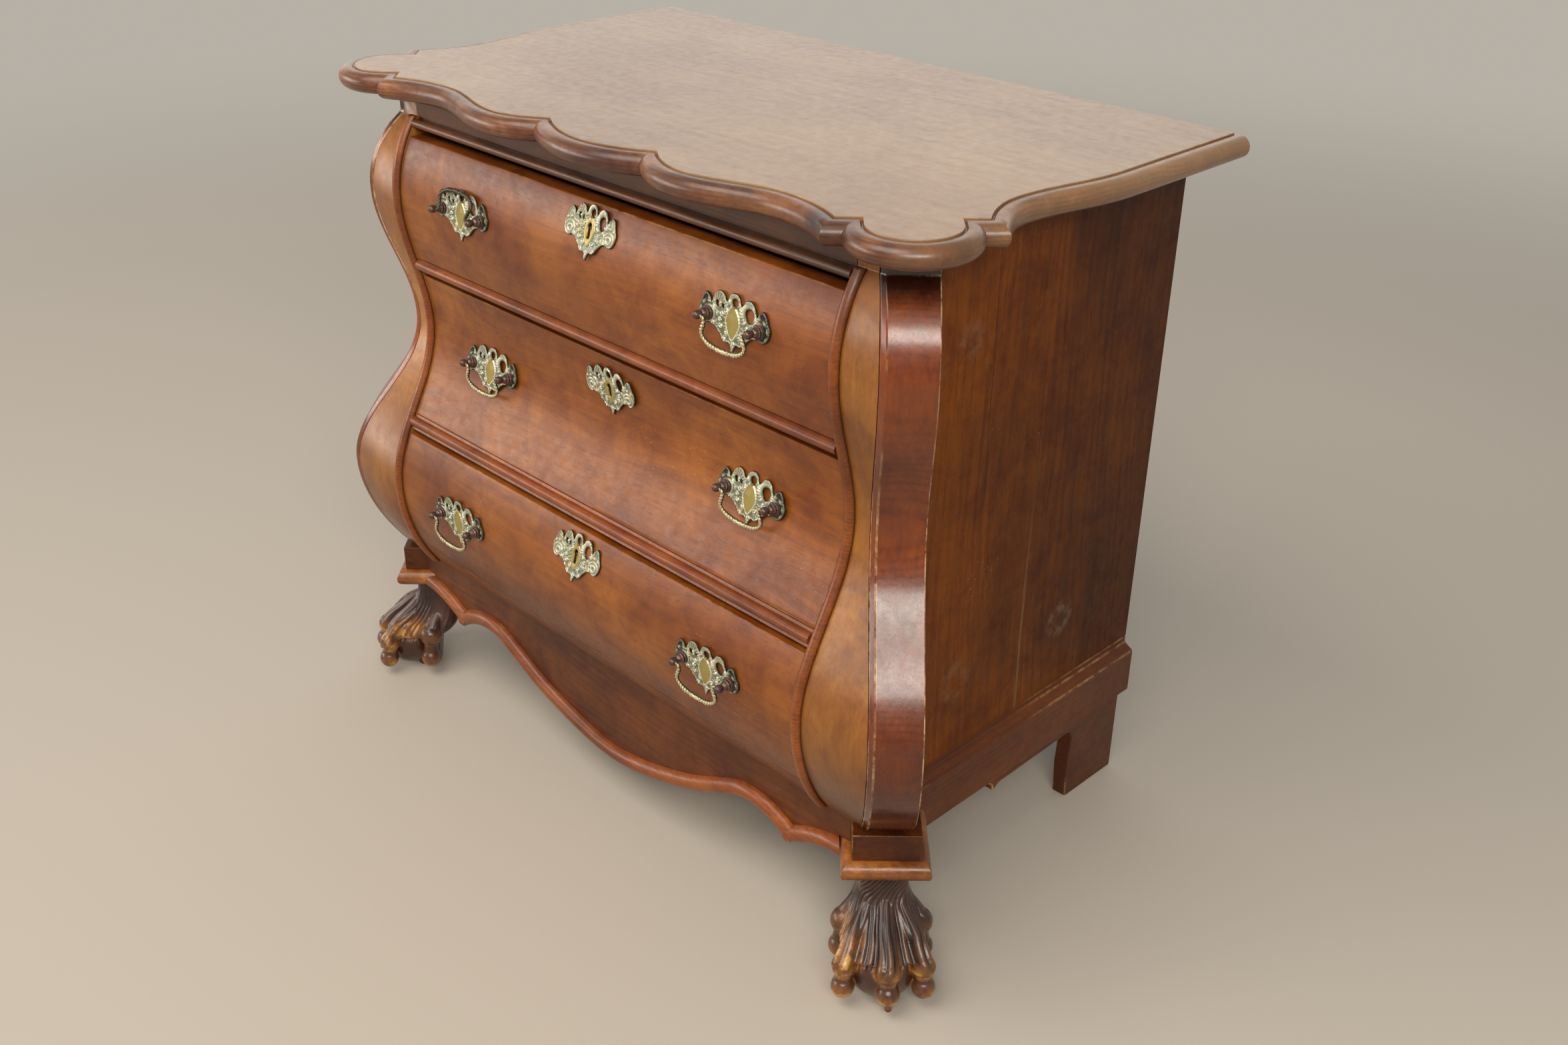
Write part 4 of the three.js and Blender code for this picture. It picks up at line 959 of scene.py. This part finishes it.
def foot_form():
    """Leg, ball, toes and nails as one carved skin."""
    parts = [leg_skin(), knob((0, 0, 34.8), (36, 37.5, 34.8), 40)]
    for path in TOES:
        wide = path[-1][3] + 1
        parts += [tube(path), knob(path[-1][:3], (wide, wide, wide), 24)]
    for nail, path in zip(NAILS, TOES):
        knuckle = path[-1][:3]
        middle = [(a + b) / 2 for a, b in zip(knuckle, nail)]
        parts += [knob(nail, (NAIL_RADIUS, NAIL_RADIUS, NAIL_RADIUS + 0.6), 24)]
        parts += [tube([(*knuckle, 10), (*middle, 9.4), (*nail, 10)], 14)]
    parts.append(knob((43.5, 4.6, 14.5), (4.6, 4.4, 5.2), 16))
    whole = join_meshes("new_claw_foot_right", parts)
    skin = whole.modifiers.new("skin", "REMESH")
    skin.mode, skin.voxel_size, skin.adaptivity = "VOXEL", 0.8, 0
    soft = whole.modifiers.new("soft", "SMOOTH")
    soft.factor, soft.iterations = 0.5, 4
    settle(whole)
    return whole


def claw_foot():
    """The foot with its flutes, which swing round at the neck, and with masks for gold and hollows."""
    foot = foot_form()
    co, normal = points_of(foot.data)
    out, across, up = co.T
    turn = np.arctan2(across, out - np.interp(up, *zip(*LEG_AXIS)))
    slant = 4.0 * fade(up, 98, 137) + 0.12 * np.sin(up / 9.0)
    wander = np.array([noise.noise(Vector((t * 1.6, z / 30, 0))) for t, z in zip(turn, up)])
    phase = turn / np.interp(up, *zip(*TOE_TURNS)) * FLUTES - slant + 0.5 * wander
    groove = (0.5 + 0.5 * np.cos(2 * math.pi * phase)) ** 1.5
    front = fade(np.abs(turn), 1.75, 1.3)
    reach = fade(up, 44, 54) * fade(up, 137, 134)
    lit = fade(normal[:, 2], -0.45, -0.1)
    depth = (1.2 + 0.9 * fade(up, 110, 80)) * groove * front * reach * lit * (0.85 + 0.5 * wander)
    side = fade(np.abs(turn), 1.5, 1.9) * fade(up, 60, 70) * fade(up, 137, 120)
    depth += 0.35 * side * (0.5 + 0.5 * np.sin(phase * 5))
    co = co - normal * depth[:, None]
    co[:, 2] = np.maximum(co[:, 2], 0)
    foot.data.vertices.foreach_set("co", co.ravel())
    rub = np.zeros(len(co))
    rubbed = [(path[-1][:3], 12.5, share) for path, share in zip(TOES, KNUCKLE_GOLD)]
    rubbed += [(nail, 12.0, share) for nail, share in zip(NAILS, NAIL_GOLD)]
    for tip, radius, share in rubbed:
        away = np.linalg.norm(co - np.array(tip), axis=1) / radius
        rub = np.maximum(rub, share * fade(away, 1.45, 1.02) * fade(up - tip[2], 13, -6))
    toe_side = fade(turn, -0.3, -0.62) * fade(up, 42, 50) * fade(up, 92, 68)
    rub = np.maximum(rub, toe_side * front * (1 - 0.55 * groove))
    rub = np.maximum(rub, 0.3 * (1 - groove) * reach * front * fade(up, 90, 55))
    set_mask(foot, "rub", rub)
    set_mask(foot, "relief", 1 - 0.9 * groove * front * reach)
    corner = Matrix.Translation(spot(*corner_place(FOOT_OUT, 0), 0))
    foot.data.transform(corner @ Matrix.Rotation(-math.pi / 4, 4, "Z") @ Matrix.Scale(MM, 4))
    return smoothed(foot, 60)


# Cast fittings, in their own frame: x across, -y out of the drawer, z up, in millimetres

PLATE_HIGH, PLATE_LOW = 27, 30
PLATE_SPACING, PLATE_MARGIN = 0.6, 0.45

# The right half of a plate's outline, as shares of its half width and of its height above or below
PLATE_SHARES = [
    (0, -1), (0.05, -0.86), (0.1, -0.74), (0.2, -0.76), (0.29, -0.68), (0.36, -0.55), (0.45, -0.42),
    (0.55, -0.33), (0.66, -0.3), (0.78, -0.36), (0.9, -0.28), (0.98, -0.08), (0.99, 0.14), (0.93, 0.34),
    (0.87, 0.6), (0.78, 0.72), (0.68, 0.6), (0.635, 0.44), (0.6, 0.56), (0.53, 0.8), (0.42, 0.92),
    (0.31, 0.86), (0.23, 0.66), (0.185, 0.66), (0.14, 0.86), (0.06, 0.98),
]
# Each hole has its x, z, half width and half height, as the same kind of shares
ARCH_HOLES = [(0.03, 0.66, 0.085, 0.16), (0.43, 0.4, 0.12, 0.25)]
SLIT_HOLES = [(-0.31, 0.42, 0.032, 0.08), (-0.46, 0.45, 0.045, 0.12)]
# Each small scroll has its share of the way out from the middle, and its angle in degrees
CURL_PLACES = [(0.36, a) for a in range(0, 360, 30)] + [(0.58, a) for a in range(8, 368, 24)]


def distance_to(points, line):
    """How far points are from a line, and how far along it the nearest place is."""
    best, place_on, walked = np.full(len(points), 1e9), np.zeros(len(points)), 0.0
    for a, b in zip(line, line[1:]):
        step = b - a
        long = np.hypot(*step)
        if long < 1e-9:
            continue
        share = np.clip(((points - a) @ step) / long ** 2, 0, 1)
        away = np.hypot(*(points - a - share[:, None] * step).T)
        near = away < best
        best[near], place_on[near] = away[near], walked + share[near] * long
        walked += long
    return best, place_on


def ridge(away, width, high):
    """A rounded ridge that falls away on both sides."""
    return high * np.exp(-(away / width) ** 2)


def closed(line):
    """A line that ends where it begins."""
    return np.vstack([line, line[:1]])


def inside_loop(points, loop):
    x, z = points.T
    inner = np.zeros(len(points), bool)
    for (ax, az), (bx, bz) in zip(loop, np.roll(loop, -1, 0)):
        with np.errstate(divide="ignore", invalid="ignore"):
            inner ^= ((az > z) != (bz > z)) & (x < (bx - ax) * (z - az) / (bz - az) + ax)
    return inner


def tall_side(up):
    """How far a plate reaches above or below its middle."""
    return PLATE_HIGH if up > 0 else PLATE_LOW


def leaf_strokes(half):
    """Curled strokes of leaf on both sides of the middle, as lines in x and z."""
    strokes = []
    for side in (-1, 1):
        for k in range(9):
            angle = math.radians(-74 + 19 * k)
            c, s = math.cos(angle), math.sin(angle)
            tall = tall_side(s) * s
            reach = (0.62 if k < 7 else 0.5) * half
            root = Vector((0.2 * half * c + 1.5, 0.42 * tall))
            tip = Vector((reach * c, 0.8 * tall))
            bow = (root + tip) / 2 + Vector((-s, c)) * 2.4 * (-1) ** k
            hook = tip + Vector((s, -c)) * 2.6
            line = curve_through([(p.x, p.y) for p in (root, bow, tip, hook)], 5)
            strokes.append(line * np.array([side, 1]))
    return strokes


def curl_heights(x, z, half):
    """Small scrolls laid round the middle of a plate."""
    level = np.zeros(len(x))
    for k, (share, degrees) in enumerate(CURL_PLACES):
        turn = math.radians(degrees)
        tall = tall_side(math.sin(turn))
        cx, cz = share * half * math.cos(turn) * 1.05, share * tall * 1.15 * math.sin(turn) - 1.5
        size = 2.5 + 0.8 * noise.noise(Vector((k * 1.7, 0.3, 0)))
        away, ray = np.hypot(x - cx, z - cz), np.arctan2(z - cz, x - cx)
        winding = ((ray * (-1) ** k + 2.1 * k) % (2 * math.pi)) / (2 * math.pi)
        rise = ridge(away - size * (0.25 + 0.85 * winding), 0.62, 1.5) + ridge(away, 0.9, 1.3)
        level = np.maximum(level, rise * fade(away, size * 1.7, size * 1.1))
    return level


def relief_heights(points, edge, half, bosses, keyed):
    """How far the cast face stands out at each point of a plate, and where its smooth middle lies."""
    x, z = points.T
    rim, along = distance_to(points, edge)
    level = 1.5 + ridge(rim - 1.25, 0.75, 0.8) * (1 + 0.3 * np.sin(along * 2.2))
    for line in leaf_strokes(half):
        away, run = distance_to(points, line)
        level = np.maximum(level, 1.5 + ridge(away, 0.8, 1.0) * (0.85 + 0.25 * np.sin(run * 2.6)))
    level = np.maximum(level, 1.5 + curl_heights(x, z, half))
    fan_x, fan_z = x + 0.46 * half, z - 0.3 * PLATE_HIGH
    fan = fade(np.hypot(fan_x, fan_z), 0.62 * PLATE_HIGH, 0.5 * PLATE_HIGH) * (z > 0.42 * PLATE_HIGH)
    level = np.maximum(level, (1.9 + 0.7 * np.sin(np.arctan2(fan_z, fan_x) * 24)) * fan)
    for share_x, share_z, wide, tall in ARCH_HOLES:
        cz, b = share_z * PLATE_HIGH, tall * PLATE_HIGH
        across, above = (x - share_x * half) / (wide * half), (z - cz) / b
        ribs = 0.3 * np.sin(np.arctan2(above, across) * 26) if share_x > 0.2 else 0
        rise = ridge(np.hypot(across, above) - 1.75, 0.62, 1.5) * fade(z, cz - b * 1.6, cz + b * 0.2)
        level = np.where(rise > 0.5, 1.6 + rise * (1 + ribs), level)
    for side in (-1, 1):
        away = np.hypot(x - side * bosses, z + (0.1 * PLATE_LOW if keyed else 0))
        middle = 1.4 if keyed else 1.0
        level = np.maximum(level, 1.6 + ridge(away - 7.2, 1.1, 1.2) + ridge(away - 3.4, 1.2, middle))
        ray = np.arctan2(z, x - side * bosses)
        level = np.maximum(level, 1.5 + ridge(away - 11.2, 1.6, 1.5) * (0.6 + 0.4 * np.sin(ray * 9)))
    if not keyed:
        flat_top = fade(z, 0.62 * PLATE_HIGH, 0.76 * PLATE_HIGH)
        level = level * (1 - flat_top) + np.minimum(level, 2.1) * flat_top
    drop = distance_to(points, np.array([(0, -PLATE_LOW), (0, -PLATE_LOW * 0.66)]))[0]
    level = np.maximum(level, 1.2 + ridge(drop, 1.6, 1.8))
    level = 0.6 + (level - 0.6) * fade(rim, 0, 0.9)
    if keyed:
        lens = 1 - np.abs(x / 7.2) ** 1.35 - np.abs(z / 15) ** 1.7
        raised_rim = fade(lens, -0.2, 0.06)
        level = level * (1 - raised_rim) + 3.0 * raised_rim
        return level - 0.5 * fade(lens, 0.3, 0.7), lens
    lens = 1 - np.abs((x + 0.4) / 8.2) ** 1.25 - np.abs((z + 1.5) / 15.5) ** 1.6
    frame_ridge = 1.5 + ridge(lens + 0.13, 0.16, 1.9) * (1 + 0.12 * np.sin(np.arctan2(z, x) * 18))
    roof = 2.3 + 1.5 * (1 - np.abs(x + 0.4 - 0.12 * z) / 8) - 0.5 * fade(z, 0, 9)
    level = np.maximum(level, frame_ridge * (lens > -0.7))
    return np.where(lens > 0, np.maximum(roof, 1.9), level), lens


def plate_loops(half, keyed):
    """The outline of a plate and of each of its holes."""
    right = np.array([(x * half, z * tall_side(z)) for x, z in PLATE_SHARES])
    loops = [curve_through(np.vstack([right, (right[1:] * [-1, 1])[::-1]]), 6, closed=True)]
    for share_x, share_z, wide, tall in ARCH_HOLES + SLIT_HOLES:
        turn = np.array(around(22))
        bow = 0.16 * half * wide * np.cos(2 * turn)
        loops.append(np.stack([share_x * half + wide * half * np.cos(turn),
                               share_z * PLATE_HIGH + tall * PLATE_HIGH * np.sin(turn) + bow], 1))
    if keyed:
        loops.append(np.array(keyhole_outline(0.15)[::-1]))
    return loops


def plate_net(loops, half):
    """Even points between the outlines, joined to triangles that leave the holes open."""
    columns, rows = np.arange(-half, half, PLATE_SPACING), np.arange(-PLATE_LOW, PLATE_HIGH, PLATE_SPACING)
    grid = np.stack(np.meshgrid(columns, rows), -1).reshape(-1, 2)
    grid = grid[inside_loop(grid, loops[0])]
    grid = grid[np.min([distance_to(grid, closed(loop))[0] for loop in loops], 0) > PLATE_MARGIN]
    for hole in loops[1:]:
        grid = grid[~inside_loop(grid, hole)]
    edges, start = [], 0
    for line in loops:
        edges += [(start + i, start + (i + 1) % len(line)) for i in range(len(line))]
        start += len(line)
    points = [Vector(p) for p in np.vstack(loops + [grid])]
    flat, _, faces, *_ = delaunay_2d_cdt(points, edges, [], 1, 1e-5)
    flat = np.array([tuple(p) for p in flat])
    middles = flat[np.array(faces)].mean(1)
    pierced = np.any([inside_loop(middles, hole) for hole in loops[1:]], 0)
    return flat, [tuple(face) for face, is_open in zip(faces, pierced) if not is_open]


def plate_skin(name, half, bosses, keyed):
    """A pierced and carved plate, cast in one."""
    loops = plate_loops(half, keyed)
    flat, kept = plate_net(loops, half)
    level, lens = relief_heights(flat, closed(loops[0]), half, bosses, keyed)
    rim = np.min([distance_to(flat, closed(line))[0] for line in loops], 0)
    level = np.where(rim < 0.02, np.minimum(level, 1.0), level)
    total = len(flat)
    skin = [Vector((x, -h, z)) for (x, z), h in zip(flat, level)] + [Vector((x, 0, z)) for x, z in flat]
    walls = {}
    for a, b, c in kept:
        for pair in ((a, b), (b, c), (c, a)):
            walls[tuple(sorted(pair))] = None if tuple(sorted(pair)) in walls else pair
    sheets = kept + [(c + total, b + total, a + total) for a, b, c in kept]
    sheets += [(p[1], p[0], p[0] + total, p[1] + total) for p in walls.values() if p]
    made = mesh_object(name, skin, sheets)
    face_outwards(made.data)
    if keyed:
        # The keyhole's edge gets a relief far below the ground, which paints its walls dark: painted shade in
        # the hole.
        at_hole = distance_to(flat, closed(loops[-1]))[0] < 0.05
        shown_level = np.where(at_hole, -1.5, np.where(lens > 0, 1.05, (level - 0.95) / 1.7))
        polished = np.where(at_hole, 0, fade(lens, -0.08, 0.02))
    else:
        bronzed = 0.42 * fade(np.abs(flat[:, 0]), 0.56 * half, 0.74 * half)
        shown_level = np.where(lens > 0, 0.55, (level - 0.95) / 1.7 - bronzed)
        polished = np.where(lens > 0, 1.0, 0)
    set_mask(made, "relief", np.concatenate([shown_level, np.zeros(total)]))
    set_mask(made, "polished", np.concatenate([polished, np.zeros(total)]))
    return smoothed(made, 50)


# The post's radius and reach from its foot to its end
POST_X = 34.2
POST_PROFILE = [
    (7.2, 0.8), (7.8, 1.8), (7.8, 2.6), (6.4, 3.1), (7.0, 4.0), (6.6, 4.9), (5.4, 5.3), (5.7, 6.0),
    (5.1, 7.4), (4.8, 8.6), (4.3, 9.8), (3.6, 10.7), (3.0, 11.5), (3.5, 12.5), (4.2, 14.0), (4.4, 16.0),
    (4.0, 18.0), (3.1, 19.6), (1.8, 20.5),
]


def posts_skin(name):
    """The two turned posts that carry the bail."""
    profile = curve_through(POST_PROFILE, 2)
    parts = [loft("post", [[Vector((side * POST_X + r * math.cos(a), -reach, r * math.sin(a)))
                            for a in around(24)] for r, reach in profile]) for side in (-1, 1)]
    made = join_meshes(name, parts)
    reach = -points_of(made.data)[0][:, 1]
    rings_dark = 0.5 + 0.35 * np.sin(reach * 2.1) * (reach < 8)
    set_mask(made, "relief", np.where(reach > 11.5, 0.45, rings_dark))
    return smoothed(made, 40)


# The right half of the bail's line: x, z and radius, from its pin to its middle
BAIL_LINE = [
    (37.2, 0, 1.35), (33, 0, 1.4), (28.6, -0.1, 1.6), (25.6, -1.6, 2.0), (25.4, -5.4, 2.3),
    (27.2, -10.2, 2.6), (28.8, -14.6, 2.4), (27.6, -19.2, 2.0), (22.6, -23.2, 2.3), (15.8, -25.6, 2.9),
    (9.2, -26.4, 2.3), (6.2, -26.8, 3.0), (3.6, -26.9, 2.5), (0, -27, 3.1),
]
BAIL_SLIMMED = 0.92


def bail_skin(name):
    """A cast bail, twisted on its front and plain behind, with a smooth middle and smooth ends."""
    right = [(x, 0.0, z, r) for x, z, r in BAIL_LINE]
    run = curve_through(right + [(-x, y, z, r) for x, y, z, r in reversed(right[:-1])], 7)
    rings, relief, rub = [], [], []
    walked = np.concatenate([[0], np.cumsum(np.linalg.norm(np.diff(run[:, :3], axis=0), axis=1))])
    for i, row in enumerate(run):
        ahead, behind = neighbours(run, i)
        along = Vector((ahead[0] - behind[0], ahead[2] - behind[2])).normalized()
        arm = float(fade(abs(row[0]), 5, 8) * fade(abs(row[0]), 31, 27))
        ring = []
        for k in range(20):
            angle = 2 * math.pi * k / 20
            across, out = math.cos(angle), -math.sin(angle)
            fronted = max(0.0, -out)
            twist = 0.5 + 0.5 * math.sin(2.0 * angle + walked[i] * 1.7 * (1 if row[0] > 0 else -1))
            grow = 1 + (0.34 * twist - 0.12) * arm * (0.25 + 0.75 * fronted)
            radius = BAIL_SLIMMED * row[3] * grow
            wide, deep = radius * across, radius * out * (0.92 if out < 0 else 0.8)
            ring.append(Vector((row[0] - along.y * wide, deep, row[2] + along.x * wide)))
            relief.append((0.25 + 0.75 * twist * arm + 0.6 * (1 - arm)) * (0.12 + 0.88 * fronted))
            rub.append(0.5 * fronted)
        rings.append(ring)
    made = smoothed(loft(name, rings), 60)
    set_mask(made, "relief", relief)
    set_mask(made, "rub", rub)
    return made


# The case, each piece standing for its node

dress(top_field(), TOP_WOOD, "top_wood", "top_field")
dress(top_moulding(), MOULDING_WOOD, "moulding_wood", "top_moulding")
dress(frieze_rail(), FRIEZE_SHADED_WOOD, "front_wood", "frieze_rail")
dress(drawer_rail("new_upper_rail", 590), RAIL_WOOD, "moulding_wood", "upper_rail")
dress(drawer_rail("new_lower_rail", 400), RAIL_WOOD, "moulding_wood", "lower_rail")
dress(bottom_rail(), DRAWER_WOOD, "front_wood", "bottom_rail")
corner_board = rounded(corner_post("new_corner_board_right", board_ring), 1.3, 3)
both_sides(corner_board, "corner_board", CORNER_WOOD, "corner_wood")
both_sides(rounded(corner_post("new_stile_right", stile_ring), 0.8), "stile", STILE_WOOD, "front_wood")
both_sides(side_bead(), "side_bead", RAIL_WOOD, "moulding_wood")

apron_drop, apron_lobe = apron_edge()
whole_drop = [(-x, z) for x, z in reversed(apron_drop[1:])] + apron_drop
dress(apron_board(), APRON_WOOD, "moulding_wood", "apron")
dress(apron_bead("apron_bead_middle", whole_drop), RAIL_WOOD, "moulding_wood")
lobe_bead = apron_bead("apron_bead_right", apron_lobe, trimmed=True)
dress(other_side(lobe_bead, "apron_bead_left"), RAIL_WOOD, "moulding_wood")
dress(lobe_bead, RAIL_WOOD, "moulding_wood")
both_sides(corner_cap(), "corner_cap", CAP_WOOD, "moulding_wood")
both_sides(claw_foot(), "claw_foot", CARVED_WOOD, "foot_wood")

for node, finish, slot, width in (
        ("side_panel", SIDE_WOOD, "side_wood", 1.2), ("side_rail", BASE_WOOD, "side_wood", 1.6),
        ("rear_bracket", BASE_WOOD, "side_wood", 1.8), ("corner_block", APRON_WOOD, "corner_wood", 1.2)):
    for side in ("_right", "_left"):
        dress(rounded(copy_of(node + side), width, 3), finish, slot, node + side)

for node, finish in (("back_panel", BACK_WOOD), ("back_rail", BACK_WOOD), ("upper_dust_board", INNER_WOOD),
                     ("lower_dust_board", INNER_WOOD), ("bottom_board", INNER_WOOD)):
    paint(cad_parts[node], finish)


# The drawers: name, lower and upper edge, and the heights of its handles and of its keyhole

DRAWERS = [
    ("drawer_1", 590.5, 731.8, 674, 706),
    ("drawer_2", 400.5, 568, 484, 530),
    ("drawer_3", 221.5, 378, 311, 350),
]
HANDLE_X = 215
PIVOT_REACH = 15.5
BAIL_RAISED = math.radians(-206)


def stand_off(z):
    """How far a flat plate has to stand off the curved front."""
    slope = front_slope(z)
    rises = [0]
    for up in steps(-PLATE_LOW, PLATE_HIGH, 12):
        along = up / math.hypot(1, slope)
        rises.append((front_depth(z + along) - front_depth(z) - slope * along) / math.hypot(1, slope))
    return max(rises) + SEAT


def fitting(master, name, x, z, out=0.0, turn=None):
    """A copy of a fitting on the drawer front, tipped to lie along it, or turned by an angle of its own."""
    piece = shown(name, master.data.copy())
    tip = math.atan(front_slope(z)) if turn is None else turn
    where = Matrix.Translation(out_from_front(x, z, stand_off(z) + out))
    piece.data.transform(where @ Matrix.Rotation(tip, 4, "X") @ Matrix.Scale(MM, 4))
    return piece


plate_master = plate_skin("plate_master", 48, 33, False)
scutcheon_master = plate_skin("scutcheon_master", 40, 30, True)
posts_master = posts_skin("posts_master")
bail_master = bail_skin("bail_master")
for name, under, over, handle_z, key_z in DRAWERS:
    front = drawer_front(f"new_{name}_front", under, over, key_z)
    dress(front, DRAWER_WOOD, "front_wood", name + "_front", body=name)
    for part in ("side_right", "side_left", "back", "bottom"):
        paint(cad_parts[f"{name}_{part}"], INNER_WOOD)
    key = fitting(scutcheon_master, f"new_{name}_scutcheon", 0, key_z)
    dress(key, PLATE_BRASS, "brass", name + "_scutcheon", body=name)
    for side, sign in (("left", -1), ("right", 1)):
        x = sign * HANDLE_X
        plate = fitting(plate_master, f"new_{name}_plate_{side}", x, handle_z)
        dress(plate, PLATE_BRASS, "brass", f"{name}_plate_{side}", body=name)
        posts = fitting(posts_master, f"{name}_posts_{side}", x, handle_z)
        dress(posts, POST_BRONZE, "bronze", body=name)
        turn = BAIL_RAISED if (name, side) == ("drawer_1", "left") else 0.0
        bail = fitting(bail_master, f"new_{name}_bail_{side}", x, handle_z, PIVOT_REACH, turn)
        dress(bail, BAIL_BRASS, "bronze", f"{name}_bail_{side}", body=f"{name}_bail_{side}")
for master in (plate_master, scutcheon_master, posts_master, bail_master):
    bpy.data.objects.remove(master)


# Floor, light and camera

PALE_FLOOR, LIT_FLOOR = "cbbfae", "78664f"
PALE_ROOM, LIT_ROOM = "d3ccc0", "e8eef8"
PALE_STRENGTH, LIT_STRENGTH = 0.72, 0.34
FLOOR_FADES_FROM, FLOOR_ENDS = 1.9, 4.2


def seen_directly(tree):
    """1 where the camera looks at the surface, straight, in a polished face or through glass."""
    path = flows(place(tree, "ShaderNodeLightPath"))
    mirrored = maths("MAXIMUM", path["Is Glossy Ray"], path["Is Transmission Ray"])
    return maths("MAXIMUM", path["Is Camera Ray"], mirrored)


def room_light(kind, seen):
    """The plain room: pale where it is seen, and at its own level where it lights the chest."""
    strength = seen.spread(0.0, 1.0, LIT_STRENGTH, PALE_STRENGTH)
    return flow(seen.tree, kind, {"Color": mixed(seen, LIT_ROOM, PALE_ROOM), "Strength": strength})


def floor_finish():
    """A pale floor that fades into the plain room at a distance."""
    finish, shader, plain = new_finish("floor_paint")
    tree, seen = plain.tree, seen_directly(plain.tree)
    fill(shader, {"Base Color": mixed(seen, LIT_FLOOR, PALE_FLOOR), "Roughness": 0.9})
    fading = flow(tree, "ShaderNodeMapRange", {0: plain.length(), 1: FLOOR_FADES_FROM, 2: FLOOR_ENDS},
                  interpolation_type="SMOOTHSTEP")
    ends = {0: fading, 1: Flow(shader.outputs[0]), 2: room_light("ShaderNodeEmission", seen)}
    fill(tree.nodes["Material Output"], {0: flow(tree, "ShaderNodeMixShader", ends)})
    return finish


floor = mesh_object("floor", [(-30, -30, 0), (30, -30, 0), (30, 30, 0), (-30, 30, 0)], [(0, 1, 2, 3)])
paint(floor, floor_finish())

world = bpy.data.worlds.new("room")
bpy.context.scene.world = world
world.use_nodes = True
room = world.node_tree
room.nodes.clear()
place(room, "ShaderNodeOutputWorld", {0: room_light("ShaderNodeBackground", seen_directly(room))})


def softbox(name, place_at, look_at, wide, high, power, colour):
    lamp = bpy.data.lights.new(name, "AREA")
    lamp.shape, lamp.size, lamp.size_y, lamp.energy = "RECTANGLE", wide, high, power
    lamp.color = tone(colour)[:3]
    made = shown(name, lamp)
    made.location = place_at
    made.rotation_euler = (Vector(look_at) - Vector(place_at)).to_track_quat("-Z", "Y").to_euler()
    made.visible_camera = False


softbox("wall_rear_left", (-4.4, 4.4, 2.3), (0, 0, 0.8), 10, 3.8, 100, "f2f1f0")
softbox("window_behind_camera", (2.35, -2.05, 2.35), (0.43, -0.24, 0.42), 2.2, 0.7, 58, "fffaf0")
softbox("window_front_left", (-4.0, -3.7, 1.5), (0, -0.2, 0.5), 4.2, 1.3, 90, "fff8f0")
softbox("ceiling_front", (-0.1, -1.7, 3.0), (0, 0, 0.5), 2.4, 1.6, 46, "fffaf2")

CAMERA_AT = (1.2229, -1.14845, 1.2212)
CAMERA_AZIMUTH, CAMERA_ELEVATION, CAMERA_ROLL = (math.radians(a) for a in (45.02, 28.772, 0.594))
FOCAL_PIXELS, FRAME_WIDE = 2410.12, 2352
SENSOR_WIDE = 36
aim = Matrix.Rotation(CAMERA_AZIMUTH, 4, "Z") @ Matrix.Rotation(math.pi / 2 - CAMERA_ELEVATION, 4, "X")
camera = shown("camera", bpy.data.cameras.new("camera"))
camera.matrix_world = Matrix.Translation(CAMERA_AT) @ aim @ Matrix.Rotation(CAMERA_ROLL, 4, "Z")
camera.data.sensor_width = SENSOR_WIDE
camera.data.lens = FOCAL_PIXELS / FRAME_WIDE * SENSOR_WIDE
bpy.context.scene.camera = camera
bpy.context.scene.view_settings.view_transform = "Standard"

bpy.context.view_layer.update()
